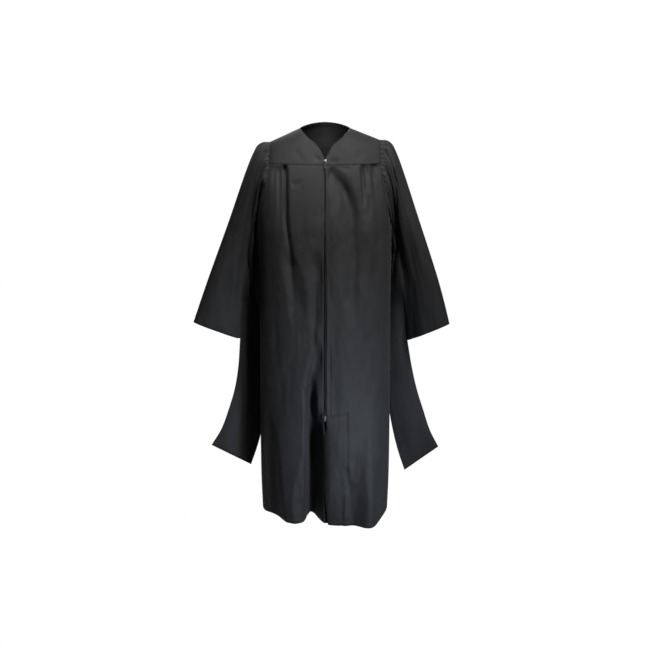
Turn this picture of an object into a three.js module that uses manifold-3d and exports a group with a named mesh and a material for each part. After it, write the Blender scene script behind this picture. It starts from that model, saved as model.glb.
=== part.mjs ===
// Graduation gown: front and back yokes, tucked fronts and back, a zip front,
// and gathered oblong sleeves whose closed tails hang below the wrist openings.
// It keeps the hollow form it has when worn. Millimetres, +X to the wearer's left,
// -Y to the front, +Z up. The origin is midway between the two shoulder neck points,
// and a "drop" is a distance below that level.
import * as THREE from "three";
import { mergeVertices } from "three/addons/utils/BufferGeometryUtils.js";
import Module from "manifold-3d";

// Cloth and seams
const GOWN_LENGTH = 1295;
const CLOTH = 2;
const SEAM = 0.3;

// Neck and shoulders
const NECK_HALF = 78;
const NECK_BACK_RISE = 12;
const NECK_BACK_STAND = 60;
const SHOULDER_HALF = 173;
const SHOULDER_DROP = { right: 43, left: 37 };
const SHOULDER_ROUND = 140;

// Yoke seams, armholes and the body's plan
const FRONT_YOKE_DROP = 103;
const BACK_YOKE_DROP = 132;
const UNDERARM_HALF = 214;
const UNDERARM_DROP = 310;
const ARMHOLE_CURVE = 2.2;
const SQUARENESS = 2.3;

// Zip: the fronts stop short of the centre line to leave room for the chain
const ZIP_HALF = 3.2;
const ZIP_TOP_DROP = 93;
const ZIP_END_DROP = 892;
const ZIP_TAPE_HALF = 10;
const ZIP_TAPE = 1;
const ZIP_PROUD = 0.4;
const FLAT_BESIDE_ZIP = 20;
const SLIT_GAP = 1;

// Front neckline, from the shoulder's neck point to the zip
const NECKLINE = [
  { along: 0, x: NECK_HALF, drop: 0 },
  { along: 0.2, x: 66, drop: 12 },
  { along: 0.4, x: 51, drop: 26.5 },
  { along: 0.6, x: 31, drop: 40 },
  { along: 0.75, x: 19, drop: 53 },
  { along: 0.88, x: 11, drop: 68 },
  { along: 1, x: ZIP_HALF, drop: 86 },
];

// Slider and pull tab: sizes across, along and away from the zip
const SLIDER_DROP = 94.5;
const SLIDER_HALF_LENGTH = 6.5;
const SLIDER_TOP_HALF = 4.8;
const SLIDER_END_HALF = 3.6;
const SLIDER_CORNER = 1.5;
const SLIDER_PLATE = 1.8;
const SLIDER_POST_HALF = 1.6;
const SLIDER_POST_FROM = 3.2;
const SLIDER_POST_TO = 5.8;
const BAIL_HALF_WIDTH = 0.8;
const BAIL_HALF_LENGTH = 5;
const BAIL_STAND = 4;
const BAIL_BAR = 1.1;
const PULL_HALF_WIDTH = 3.3;
const PULL_LENGTH = 24;
const PULL_CORNER = 2;
const PULL_THICK = 1.2;
const PULL_BAR = 1.4;
const PULL_WINDOW_HALF = 1.5;
const PULL_WINDOW_LENGTH = 7.4;

// Sleeves: the share of the sleeve's width that the wrist opening takes, the half
// gap kept between layers that lie together, and the gathers in one sleeve cap
const CUFF_SHARE = 0.63;
const LAYER_HALF = CLOTH / 2 + SEAM;
const TAIL_PUFF = 8;
const TAIL_TURN = 6;
const CAP_GATHERS = 7;
const CAP_GATHER_DEPTH = 4.5;
const CAP_GATHER_SHARE = 0.55;
const BESIDE_BODY = 0.75;
const CAP_OFFSET = 1.1;
const UNDERARM_OFFSET = 1.7;

// How finely the cloth is divided
const FRONT_COLUMNS = 26;
const FRONT_ROWS = 24;
const BACK_COLUMNS = 36;
const BACK_ROWS = 20;
const YOKE_COLUMNS = 9;
const YOKE_ROWS = 11;
const BACK_YOKE_COLUMNS = 20;
const CUFF_COLUMNS = 14;
const TAIL_COLUMNS = 6;
const TAIL_ROWS = 9;

// Half width and depth of the body, level by level
const BODY = [
  { drop: -20, halfWidth: 190, front: 86, back: 98 },
  { drop: 60, halfWidth: 194, front: 90, back: 100 },
  { drop: 103, halfWidth: 198, front: 97, back: 105 },
  { drop: 180, halfWidth: 207, front: 119, back: 114 },
  { drop: 250, halfWidth: 212, front: 134, back: 122 },
  { drop: 310, halfWidth: 214, front: 143, back: 128 },
  { drop: 600, halfWidth: 215, front: 153, back: 138 },
  { drop: 900, halfWidth: 219, front: 159, back: 146 },
  { drop: 1170, halfWidth: 220, front: 165, back: 153 },
  { drop: 1295, halfWidth: 217, front: 170, back: 157 },
];

// Line of the front opening's edge below the zip
const SLIT = [
  { drop: 955, x: 0 },
  { drop: 1020, x: -8 },
  { drop: 1100, x: -9 },
  { drop: 1210, x: 0 },
  { drop: 1295, x: 9 },
];

// Folds: a trough goes in by "depth" and a ridge stands out by a negative one.
// The line runs from (topX, topDrop) to (endX, endDrop), "sweep" bends it to one side,
// it deepens over "grow" and dies away over "fade", and it reaches "left" and "right".
const FRONT_FOLDS = [
  { topX: -124, topDrop: 103, endX: -70, endDrop: 650, sweep: 0.6,
    depth: 15, grow: 30, fade: 330, left: 12, right: 8 },
  { topX: -143, topDrop: 103, endX: -140, endDrop: 330, sweep: 1,
    depth: 8, grow: 30, fade: 200, left: 6, right: 6 },
  { topX: -158, topDrop: 103, endX: -162, endDrop: 280, sweep: 1,
    depth: 6, grow: 30, fade: 170, left: 5, right: 5 },
  { topX: -24, topDrop: 430, endX: -24, endDrop: 740, sweep: 1,
    depth: 6, grow: 150, fade: 150, left: 12, right: 8 },
  { topX: -34, topDrop: 740, endX: -52, endDrop: 1295, sweep: 3,
    depth: 72, grow: 540, fade: 0, left: 23, right: 21 },
  { topX: -185, topDrop: 700, endX: -192, endDrop: 1295, sweep: 1,
    depth: 44, grow: 560, fade: 0, left: 30, right: 32 },
  { topX: 16, topDrop: 128, endX: 92, endDrop: 600, sweep: 6,
    depth: 11, grow: 60, fade: 260, left: 13, right: 11 },
  { topX: 114, topDrop: 103, endX: 122, endDrop: 300, sweep: 1,
    depth: 8, grow: 30, fade: 180, left: 6, right: 7 },
  { topX: 131, topDrop: 103, endX: 138, endDrop: 260, sweep: 1,
    depth: 7, grow: 30, fade: 150, left: 5, right: 5 },
  { topX: 148, topDrop: 103, endX: 156, endDrop: 280, sweep: 1,
    depth: 7, grow: 30, fade: 170, left: 5, right: 5 },
  { topX: 118, topDrop: 560, endX: 112, endDrop: 1295, sweep: 1,
    depth: 8, grow: 400, fade: 0, left: 22, right: 22 },
  { topX: 160, topDrop: 860, endX: 162, endDrop: 1295, sweep: 1,
    depth: -66, grow: 420, fade: 0, left: 38, right: 26 },
];
const BACK_FOLDS = [
  { topX: -112, topDrop: 132, endX: -128, endDrop: 1295, sweep: 1,
    depth: 14, grow: 40, fade: 0, left: 11, right: 14 },
  { topX: -78, topDrop: 132, endX: -86, endDrop: 640, sweep: 1,
    depth: 9, grow: 40, fade: 320, left: 9, right: 9 },
  { topX: -44, topDrop: 132, endX: -46, endDrop: 1295, sweep: 1,
    depth: 15, grow: 40, fade: 0, left: 12, right: 12 },
  { topX: -12, topDrop: 132, endX: -6, endDrop: 560, sweep: 1,
    depth: 8, grow: 40, fade: 300, left: 9, right: 9 },
  { topX: 22, topDrop: 132, endX: 38, endDrop: 1295, sweep: 1,
    depth: 16, grow: 40, fade: 0, left: 13, right: 12 },
  { topX: 58, topDrop: 132, endX: 62, endDrop: 600, sweep: 1,
    depth: 9, grow: 40, fade: 320, left: 9, right: 9 },
  { topX: 96, topDrop: 132, endX: 118, endDrop: 1295, sweep: 1,
    depth: 14, grow: 40, fade: 0, left: 12, right: 13 },
];

// Sleeve from armhole to cuff: the outer edge lies along the top of the arm and the
// inner edge along the underarm seam. Given for the left side, with x away from the body.
const SLEEVE = [
  { along: 0, outerX: 173, outerY: 0, outerDrop: 43,
    innerX: 214, innerY: 0, innerDrop: 310, half: 62, turn: 0 },
  { along: 0.05, outerX: 197, outerY: 0, outerDrop: 46,
    innerX: 219, innerY: 9, innerDrop: 322, half: 64, turn: 2 },
  { along: 0.1, outerX: 216, outerY: -1, outerDrop: 62,
    innerX: 219, innerY: 22, innerDrop: 342, half: 64, turn: 4 },
  { along: 0.2, outerX: 247, outerY: -4, outerDrop: 132,
    innerX: 218, innerY: 40, innerDrop: 384, half: 60, turn: 8 },
  { along: 0.4, outerX: 303, outerY: -9, outerDrop: 292,
    innerX: 217, innerY: 58, innerDrop: 476, half: 53, turn: 15 },
  { along: 0.7, outerX: 370, outerY: -16, outerDrop: 478,
    innerX: 212, innerY: 80, innerDrop: 612, half: 46, turn: 23 },
  { along: 1, outerX: 421, outerY: -22, outerDrop: 628,
    innerX: 203, innerY: 97, innerDrop: 752, half: 37, turn: 29 },
];
// The closed tail from cuff level to its end, from its curved outer edge to its inner edge
const TAIL = [
  { along: 0, outerX: 282, outerY: 53, outerDrop: 706, innerX: 203, innerY: 97, innerDrop: 752 },
  { along: 0.2, outerX: 294, outerY: 56, outerDrop: 797, innerX: 205, innerY: 94, innerDrop: 845 },
  { along: 0.4, outerX: 311, outerY: 59, outerDrop: 884, innerX: 210, innerY: 90, innerDrop: 935 },
  { along: 0.6, outerX: 335, outerY: 61, outerDrop: 963, innerX: 223, innerY: 86, innerDrop: 1022 },
  { along: 0.8, outerX: 363, outerY: 63, outerDrop: 1040, innerX: 243, innerY: 80, innerDrop: 1105 },
  { along: 1, outerX: 398, outerY: 64, outerDrop: 1102, innerX: 271, innerY: 74, innerDrop: 1186 },
];
// How each sleeve departs from the tables: up at its cap, out and down at its cuff, out
// along its tail, and out and down at the inner corner of its tail
const HANG = {
  right: { capUp: 0, cuffOut: 11, bow: 1, cuffDown: 1, tail: -4, endOut: -9, endDown: -6 },
  left: { capUp: 6, cuffOut: -12, bow: 3, cuffDown: 7, tail: 8, endOut: 11, endDown: 10 },
};

// Folds along the sleeves: "top" and "end" are where a trough starts and stops across the
// sleeve, from the outer edge, 0, to the inner edge, 1
const SLEEVE_FOLDS = {
  right: [
    { layer: -1, top: 0.36, end: 0.72, from: 0.06, to: 1.3, depth: 16, spread: 0.085 },
    { layer: -1, top: 0.66, end: 0.8, from: 0.12, to: 0.6, depth: 6, spread: 0.07 },
    { layer: 1, top: 0.36, end: 0.5, from: 0.1, to: 1.3, depth: 12, spread: 0.1 },
  ],
  left: [
    { layer: -1, top: 0.52, end: 0.66, from: 0.04, to: 0.6, depth: 10, spread: 0.065 },
    { layer: -1, top: 0.44, end: 0.56, from: 0.4, to: 1.3, depth: 10, spread: 0.11 },
    { layer: 1, top: 0.4, end: 0.54, from: 0.1, to: 1.3, depth: 12, spread: 0.1 },
  ],
};
const SLEEVE_ALONG = [0, 0.025, 0.05, 0.08, 0.12, 0.18, 0.26, 0.36, 0.48, 0.6, 0.72, 0.84, 0.93, 1];

const CLOTH_COLOR = 0x1b1c1f;
const ZIP_COLOR = 0x101113;
const METAL_COLOR = 0x2b2c2e;

const manifold = await Module();
manifold.setup();

const lerp = THREE.MathUtils.lerp;
const clamp = THREE.MathUtils.clamp;
const smoothstep = THREE.MathUtils.smoothstep;

// A smooth curve through one column of a table, read against another column.
function curveOf(rows, key, value) {
  const at = rows.map((row) => row[key]);
  const level = rows.map((row) => row[value]);
  const last = rows.length - 1;
  const slope = at.map((_, i) => {
    const before = Math.max(i - 1, 0);
    const after = Math.min(i + 1, last);
    return (level[after] - level[before]) / (at[after] - at[before]);
  });
  return (where) => {
    const past = at.findIndex((edge) => where < edge);
    const i = past < 0 ? last - 1 : Math.max(past - 1, 0);
    const step = at[i + 1] - at[i];
    const t = clamp((where - at[i]) / step, 0, 1);
    const rise = level[i + 1] - level[i];
    const a = slope[i] * step - rise;
    const b = rise - slope[i + 1] * step;
    return lerp(level[i], level[i + 1], t) + t * (1 - t) * (a * (1 - t) + b * t);
  };
}

const halfWidthAt = curveOf(BODY, "drop", "halfWidth");
const frontDepthAt = curveOf(BODY, "drop", "front");
const backDepthAt = curveOf(BODY, "drop", "back");
const slitAt = curveOf(SLIT, "drop", "x");
const neckXAt = curveOf(NECKLINE, "along", "x");
const neckDropAt = curveOf(NECKLINE, "along", "drop");

// Inward displacement of the cloth by a table of folds.
function foldDepth(folds, x, drop) {
  let total = 0;
  for (const fold of folds) {
    const t = (drop - fold.topDrop) / (fold.endDrop - fold.topDrop);
    if (t < 0 || t > 1) continue;
    const centre = lerp(fold.topX, fold.endX, 1 - (1 - t) ** fold.sweep);
    const reach = x < centre ? fold.left : fold.right;
    const profile = Math.exp(-(((x - centre) / reach) ** 2) / 2);
    const start = smoothstep(drop - fold.topDrop, 0, fold.grow);
    const die = fold.fade > 0 ? smoothstep(fold.endDrop - drop, 0, fold.fade) : 1;
    total += fold.depth * profile * start * die;
  }
  return total;
}

// Share of the depth that is left towards the sides of the body.
function across(x, drop) {
  const share = Math.min(Math.abs(x) / halfWidthAt(drop), 1);
  return (1 - share ** SQUARENESS) ** (1 / SQUARENESS);
}

// Rounding of the cloth over the shoulder ridge.
function shoulderRound(below) {
  const k = clamp(below / SHOULDER_ROUND, 0, 1);
  return Math.sqrt(1 - (1 - k) ** 2);
}

// The wearer's right side is at -X.
const shoulderTip = (x) => (x < 0 ? SHOULDER_DROP.right : SHOULDER_DROP.left);

function shoulderLine(x) {
  const share = (Math.abs(x) - NECK_HALF) / (SHOULDER_HALF - NECK_HALF);
  return shoulderTip(x) * clamp(share, 0, 1);
}

function neckStand(x) {
  const share = Math.min(Math.abs(x) / NECK_HALF, 1);
  return NECK_BACK_STAND * (1 - share ** 2);
}

// Folds die out towards the side seams and keep flat beside the zip.
function foldShare(x, drop) {
  const side = 1 - Math.min(Math.abs(x) / halfWidthAt(drop), 1) ** 6;
  const beside = smoothstep(Math.abs(x), FLAT_BESIDE_ZIP, 2 * FLAT_BESIDE_ZIP);
  const open = smoothstep(drop, ZIP_END_DROP, ZIP_END_DROP + 60);
  return side * lerp(beside, 1, open);
}

function frontPoint(x, drop) {
  const smooth = frontDepthAt(drop) * across(x, drop) * shoulderRound(drop - shoulderLine(x));
  const fold = foldDepth(FRONT_FOLDS, x, drop) * foldShare(x, drop);
  return new THREE.Vector3(x, -SEAM / 2 - smooth + fold, -drop);
}

function yokePoint(x, drop) {
  const smooth = frontDepthAt(drop) * across(x, drop) * shoulderRound(drop - shoulderLine(x));
  return new THREE.Vector3(x, -SEAM / 2 - smooth, -drop);
}

function backSmooth(x, drop) {
  return backDepthAt(drop) * across(x, drop) * shoulderRound(drop - shoulderLine(x) + neckStand(x));
}

function backYokePoint(x, drop) {
  return new THREE.Vector3(x, SEAM / 2 + backSmooth(x, drop), -drop);
}

function backPoint(x, drop) {
  const side = 1 - Math.min(Math.abs(x) / halfWidthAt(drop), 1) ** 6;
  const fold = foldDepth(BACK_FOLDS, x, drop) * side;
  return new THREE.Vector3(x, SEAM / 2 + backSmooth(x, drop) - fold, -drop);
}

// Outer limit of the body pieces: the armhole, then the side seam.
function edgeX(drop, side) {
  if (drop >= UNDERARM_DROP) return halfWidthAt(drop);
  const share = clamp((drop - shoulderTip(side)) / (UNDERARM_DROP - shoulderTip(side)), 0, 1);
  return lerp(SHOULDER_HALF, UNDERARM_HALF, share ** ARMHOLE_CURVE);
}

// A wall of even thickness on a sheet of points. The sheet is a function of a column
// share and a row share, and "keep" says which of its cells are cloth.
function clothWall(sheet, columns, rows, keep = () => true) {
  const nudge = 1e-4;
  const positions = [];
  const normal = new THREE.Vector3();
  for (const row of rows) {
    for (const column of columns) {
      const point = sheet(column, row);
      const c0 = Math.max(column - nudge, columns[0]);
      const c1 = Math.min(column + nudge, columns[columns.length - 1]);
      const r0 = Math.max(row - nudge, rows[0]);
      const r1 = Math.min(row + nudge, rows[rows.length - 1]);
      const alongColumn = sheet(c1, row).sub(sheet(c0, row)).normalize();
      const alongRow = sheet(column, r1).sub(sheet(column, r0)).normalize();
      normal.crossVectors(alongRow, alongColumn).normalize();
      for (const layer of [0.5, -0.5]) {
        positions.push(...point.clone().addScaledVector(normal, layer * CLOTH).toArray());
      }
    }
  }
  const vertex = (r, c, layer) => 2 * (r * columns.length + c) + layer;
  const kept = (r, c) => r >= 0 && c >= 0 && r < rows.length - 1 && c < columns.length - 1
    && keep((columns[c] + columns[c + 1]) / 2, (rows[r] + rows[r + 1]) / 2);
  const faces = [];
  const quad = (a, b, c, d) => faces.push(a, b, c, a, c, d);
  const rim = (r0, c0, r1, c1) => quad(
    vertex(r0, c0, 0), vertex(r1, c1, 0), vertex(r1, c1, 1), vertex(r0, c0, 1));
  for (let r = 0; r < rows.length - 1; r += 1) {
    for (let c = 0; c < columns.length - 1; c += 1) {
      if (!kept(r, c)) continue;
      quad(vertex(r, c, 0), vertex(r + 1, c, 0), vertex(r + 1, c + 1, 0), vertex(r, c + 1, 0));
      quad(vertex(r, c, 1), vertex(r, c + 1, 1), vertex(r + 1, c + 1, 1), vertex(r + 1, c, 1));
      if (!kept(r - 1, c)) rim(r, c, r, c + 1);
      if (!kept(r + 1, c)) rim(r + 1, c + 1, r + 1, c);
      if (!kept(r, c - 1)) rim(r + 1, c, r, c);
      if (!kept(r, c + 1)) rim(r, c + 1, r + 1, c + 1);
    }
  }
  return solid(positions, faces);
}

// A closed mesh from shared points: points that no face uses are left out.
function solid(positions, faces) {
  const geometry = new THREE.BufferGeometry();
  const index = new Map();
  const packed = [];
  const renumbered = faces.map((old) => {
    if (!index.has(old)) {
      index.set(old, index.size);
      packed.push(positions[3 * old], positions[3 * old + 1], positions[3 * old + 2]);
    }
    return index.get(old);
  });
  geometry.setAttribute("position", new THREE.Float32BufferAttribute(packed, 3));
  geometry.setIndex(renumbered);
  return geometry;
}

const evenly = (count, from = 0, to = 1) =>
  Array.from({ length: count + 1 }, (_, i) => lerp(from, to, i / count));

// Columns and rows of the body pieces, closer together where the folds are.
const frontColumns = evenly(FRONT_COLUMNS).map((t) => Math.sin((t * Math.PI) / 2) ** 0.95);
const frontRows = evenly(FRONT_ROWS).map((t) => t ** 1.45);

// One front, from the zip or the opening's edge to the armhole and side seam.
function frontPanel(side) {
  const top = FRONT_YOKE_DROP + SEAM / 2;
  const sheet = (column, row) => {
    const drop = lerp(top, GOWN_LENGTH, row);
    const open = smoothstep(drop, ZIP_END_DROP + 60, ZIP_END_DROP + 120);
    const inner = slitAt(drop) + side * lerp(ZIP_HALF, SLIT_GAP, open);
    const share = side > 0 ? column : 1 - column;
    return frontPoint(lerp(inner, side * edgeX(drop, side), share), drop);
  };
  const columns = side > 0 ? frontColumns : frontColumns.map((t) => 1 - t).reverse();
  return clothWall(sheet, columns, frontRows);
}

// One front yoke, from the neckline and zip to the armhole.
function frontYoke(side) {
  const neckShare = 0.8;
  const sheet = (column, row) => {
    const t = row ** 1.6;
    const round = Math.min(t / neckShare, 1);
    const innerX = neckXAt(round);
    const neckDrop = neckDropAt(round);
    const down = Math.max((t - neckShare) / (1 - neckShare), 0);
    const seam = FRONT_YOKE_DROP - SEAM / 2;
    const innerDrop = lerp(neckDrop, seam, down);
    const outerDrop = lerp(shoulderTip(side), seam, t);
    const share = side > 0 ? column : 1 - column;
    const x = side * lerp(innerX, edgeX(outerDrop, side), share);
    return yokePoint(x, lerp(innerDrop, outerDrop, share));
  };
  return clothWall(sheet, evenly(YOKE_COLUMNS), evenly(YOKE_ROWS));
}

// The back yoke, from the neckline and shoulder seams to the back yoke seam.
function backYoke() {
  const sheet = (column, row) => {
    const t = row ** 1.6;
    const side = 1 - 2 * column;
    const neckX = NECK_HALF * Math.min(Math.abs(side) / 0.5, 1);
    const topX = Math.abs(side) < 0.5 ? neckX
      : lerp(NECK_HALF, SHOULDER_HALF, (Math.abs(side) - 0.5) / 0.5);
    const topDrop = Math.abs(side) < 0.5 ? -NECK_BACK_RISE * (1 - (neckX / NECK_HALF) ** 2)
      : shoulderLine(Math.sign(side) * topX);
    const seam = BACK_YOKE_DROP - SEAM / 2;
    const drop = lerp(topDrop, seam, t);
    const widen = edgeX(lerp(shoulderTip(side), seam, t), side) / SHOULDER_HALF;
    return backYokePoint(Math.sign(side) * topX * widen, drop);
  };
  return clothWall(sheet, evenly(BACK_YOKE_COLUMNS), evenly(YOKE_ROWS));
}

// The back, from the back yoke seam to the hem.
function backPanel() {
  const top = BACK_YOKE_DROP + SEAM / 2;
  const sheet = (column, row) => {
    const drop = lerp(top, GOWN_LENGTH, row);
    return backPoint(edgeX(drop, column) * column, drop);
  };
  const columns = evenly(BACK_COLUMNS, -1, 1).map((t) => -Math.sin((t * Math.PI) / 2));
  const rows = evenly(BACK_ROWS).map((t) => t ** 1.35);
  return clothWall((column, row) => sheet(-column, row), columns.reverse(), rows);
}

// Armhole edge of the body, "share" running from the shoulder tip to the underarm.
function armholePoint(side, layer, share) {
  const drop = lerp(shoulderTip(side), UNDERARM_DROP, share);
  const x = edgeX(drop, side);
  const y = layer < 0 ? yokePoint(side * x, drop).y : backYokePoint(side * x, drop).y;
  const clear = CAP_OFFSET + UNDERARM_OFFSET * share ** 2;
  return new THREE.Vector3(side * (x + clear), y, -drop);
}

const tableCurves = (rows) => Object.fromEntries(
  Object.keys(rows[0]).map((name) => [name, curveOf(rows, "along", name)]));
const sleeveAt = tableCurves(SLEEVE);
const tailAt = tableCurves(TAIL);

// Half the fullness of a sleeve at a share of its width: round in the upper sleeve,
// drawn together beside the wrist opening.
function fullness(share, along) {
  const half = sleeveAt.half(along);
  const round = Math.sqrt(4 * share * (1 - share));
  const inCuff = Math.min(share / CUFF_SHARE, 1);
  const inTail = Math.max((share - CUFF_SHARE) / (1 - CUFF_SHARE), 0);
  const pinched = Math.sqrt(4 * inCuff * (1 - inCuff)) + (TAIL_PUFF / half) * Math.sin(Math.PI * inTail);
  return half * lerp(round, pinched, smoothstep(along, 0.55, 1));
}

function sleeveFolds(folds, layer, share, along) {
  let total = 0;
  for (const fold of folds) {
    if (fold.layer !== layer) continue;
    const centre = lerp(fold.top, fold.end, clamp((along - fold.from) / (1 - fold.from), 0, 1));
    const profile = Math.exp(-(((share - centre) / fold.spread) ** 2) / 2);
    const ends = smoothstep(along, fold.from, fold.from + 0.2) * smoothstep(fold.to - along, 0, 0.25);
    total += fold.depth * profile * ends;
  }
  return total;
}

// Direction from the front layer of a sleeve to its back layer.
function facingAt(turn) {
  const angle = THREE.MathUtils.degToRad(turn);
  return new THREE.Vector3(Math.sin(angle), Math.cos(angle), 0);
}

// Point of one sleeve layer above the cuff; layer -1 is the front, 1 the back.
function sleevePoint(side, name, layer, share, along) {
  const at = (key) => sleeveAt[key](along);
  const hang = HANG[name];
  const outerX = at("outerX") + hang.cuffOut * along ** hang.bow;
  const up = hang.capUp * (1 - smoothstep(along, 0, 0.25)) - hang.cuffDown * along ** 3;
  const outer = new THREE.Vector3(outerX, at("outerY"), up - at("outerDrop"));
  const innerUp = -hang.cuffDown * along ** 3;
  const inner = new THREE.Vector3(at("innerX"), at("innerY"), innerUp - at("innerDrop"));
  const run = inner.clone().sub(outer);
  const facing = facingAt(at("turn"));
  const gather = CAP_GATHER_DEPTH * smoothstep(along, 0, 0.06) * (1 - smoothstep(along, 0.1, 0.34))
    * (1 - smoothstep(share, CAP_GATHER_SHARE * 0.6, CAP_GATHER_SHARE))
    * Math.cos(Math.PI * CAP_GATHERS * layer * Math.sqrt(share / CAP_GATHER_SHARE));
  const keepSeam = LAYER_HALF * smoothstep(share, 0.5, 1);
  const folded = sleeveFolds(SLEEVE_FOLDS[name], layer, share, along);
  const beside = layer < 0 ? 1 - BESIDE_BODY * share ** 2 * (1 - smoothstep(along, 0.7, 1)) : 1;
  const round = fullness(share, along) * beside;
  const full = Math.max(round - folded, 0.25 * round) + Math.max(keepSeam, SEAM / 2);
  const point = outer.clone().addScaledVector(run, share);
  point.addScaledVector(facing, layer * full);
  point.addScaledVector(outer.clone().sub(inner).normalize(), gather * (1 - share));
  point.addScaledVector(facing, layer * gather * share);
  point.x *= side;
  return point;
}

// Point of one layer of the closed tail; "share" runs from the curved edge to the inner edge.
function tailPoint(side, name, layer, share, along) {
  const at = (key) => tailAt[key](along);
  const hang = HANG[name];
  const middle = hang.tail * Math.sin(Math.PI * along);
  const outerX = at("outerX") + middle + hang.cuffOut * (1 - CUFF_SHARE) * (1 - along);
  const outer = new THREE.Vector3(outerX, at("outerY"), -at("outerDrop") - hang.cuffDown);
  const innerX = at("innerX") + middle + hang.endOut * along ** 2;
  const down = hang.cuffDown + hang.endDown * along;
  const inner = new THREE.Vector3(innerX, at("innerY"), -at("innerDrop") - down);
  const run = inner.clone().sub(outer);
  const facing = facingAt(lerp(sleeveAt.turn(1), TAIL_TURN, along));
  const puff = TAIL_PUFF * Math.sin(Math.PI * share) * (1 - smoothstep(along, 0.55, 1));
  const point = outer.clone().addScaledVector(run, share);
  point.addScaledVector(facing, layer * (LAYER_HALF + puff));
  point.x *= side;
  return point;
}

// One layer of a sleeve: a sheet from the seam along the top of the arm to the underarm
// seam, and on below the cuff as one layer of the tail.
function sleeveLayer(side, name, layer) {
  const cuffAngle = Math.acos(1 - 2 * CUFF_SHARE);
  const shareOf = (angle) => (1 - Math.cos(angle)) / 2;
  const columns = [
    ...evenly(CUFF_COLUMNS, 0, cuffAngle),
    ...evenly(TAIL_COLUMNS, cuffAngle, Math.PI).slice(1),
  ];
  const mirrored = side * layer < 0;
  const sheet = (column, row) => {
    const share = shareOf(mirrored ? -column : column);
    if (row > 1) {
      const inTail = (share - CUFF_SHARE) / (1 - CUFF_SHARE);
      return tailPoint(side, name, layer, Math.max(inTail, 0), row - 1);
    }
    const point = sleevePoint(side, name, layer, share, row);
    const start = sleevePoint(side, name, layer, share, 0);
    const settle = 1 - smoothstep(row, 0, 0.2);
    return point.add(armholePoint(side, layer, share).sub(start).multiplyScalar(settle));
  };
  const rows = [...SLEEVE_ALONG, ...evenly(TAIL_ROWS, 1, 2).slice(1)];
  const isCloth = (column, row) => row < 1 || Math.abs(column) > cuffAngle;
  const ordered = mirrored ? columns.map((angle) => -angle).reverse() : columns;
  return clothWall(sheet, ordered, rows, isCloth);
}

// A solid through like cross-sections, each a closed run of points.
function loft(sections, outline) {
  const count = outline.length;
  const positions = sections.flat().flatMap((point) => point.toArray());
  const faces = [];
  for (let s = 0; s < sections.length - 1; s += 1) {
    for (let i = 0; i < count; i += 1) {
      const a = s * count + i;
      const b = s * count + ((i + 1) % count);
      faces.push(a, b, b + count, a, b + count, a + count);
    }
  }
  const end = (sections.length - 1) * count;
  for (const [a, b, c] of THREE.ShapeUtils.triangulateShape(outline, [])) {
    faces.push(a, c, b, end + a, end + b, end + c);
  }
  return solid(positions, faces);
}

// Levels of the zip's layers, counted back from the cloth's middle.
const CHAIN_FACE = -CLOTH / 2 - ZIP_PROUD;
const PLATE_BACK = CHAIN_FACE - SEAM;
const PLATE_FACE = PLATE_BACK - SLIDER_PLATE;
const BAIL_FACE = PLATE_FACE - BAIL_STAND;
const TAPE_BACK = CLOTH / 2 + 2 * SEAM + ZIP_TAPE;
const PULL_AXIS = PLATE_FACE - (BAIL_STAND - BAIL_BAR) / 2;

// Zip: the chain stands between the fronts and the tape lies behind them. Its bends are
// level with those of the fronts, so that the two lie evenly together.
function zipChain() {
  const chain = ZIP_HALF - SEAM;
  const tapeFace = TAPE_BACK - ZIP_TAPE;
  const outline = [
    [-chain, CHAIN_FACE], [chain, CHAIN_FACE], [chain, tapeFace], [ZIP_TAPE_HALF, tapeFace],
    [ZIP_TAPE_HALF, TAPE_BACK], [-ZIP_TAPE_HALF, TAPE_BACK], [-ZIP_TAPE_HALF, tapeFace], [-chain, tapeFace],
  ].map(([x, y]) => new THREE.Vector2(x, y));
  const levels = frontRows.map((row) => lerp(FRONT_YOKE_DROP, GOWN_LENGTH, row));
  const drops = [ZIP_TOP_DROP, ...levels.filter((drop) => drop < ZIP_END_DROP), ZIP_END_DROP];
  const sections = drops.reverse().map((drop) => {
    const centre = yokePoint(0, drop);
    const slope = Math.hypot(1, (yokePoint(0, drop + 1).y - yokePoint(0, drop - 1).y) / 2);
    return outline.map((p) => new THREE.Vector3(p.x, centre.y + p.y * slope, centre.z));
  });
  return loft(sections, outline);
}

// A flat plate in the zip's own plane: x across, z up the zip, y from its front to its back.
function plate(points, front, back, holes = []) {
  const toVectors = (list) => list.map(([x, z]) => new THREE.Vector2(x, z));
  const shape = new THREE.Shape(toVectors(points));
  holes.forEach((hole) => shape.holes.push(new THREE.Path(toVectors(hole))));
  const geometry = new THREE.ExtrudeGeometry(shape, { depth: back - front, bevelEnabled: false });
  geometry.rotateX(Math.PI / 2);
  geometry.translate(0, back, 0);
  return geometry;
}

const rectangle = (x0, x1, z0, z1) => [[x0, z0], [x1, z0], [x1, z1], [x0, z1]];

// A four-sided outline with its corners taken off.
function taperedOutline(topHalf, endHalf, top, end, corner) {
  const right = [
    [endHalf - corner, end], [endHalf, end + corner], [topHalf, top - corner], [topHalf - corner, top],
  ];
  return [...right, ...right.map(([x, z]) => [-x, z]).reverse()];
}

// Several overlapping geometries joined into one closed solid.
function join(geometries) {
  const solids = geometries.map((geometry) => {
    const merged = mergeVertices(new THREE.BufferGeometry()
      .setAttribute("position", geometry.getAttribute("position")));
    return new manifold.Manifold(new manifold.Mesh({
      numProp: 3,
      vertProperties: merged.getAttribute("position").array,
      triVerts: new Uint32Array(merged.index.array),
    }));
  });
  const mesh = manifold.Manifold.union(solids).getMesh();
  return solid(Array.from(mesh.vertProperties), Array.from(mesh.triVerts));
}

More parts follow.
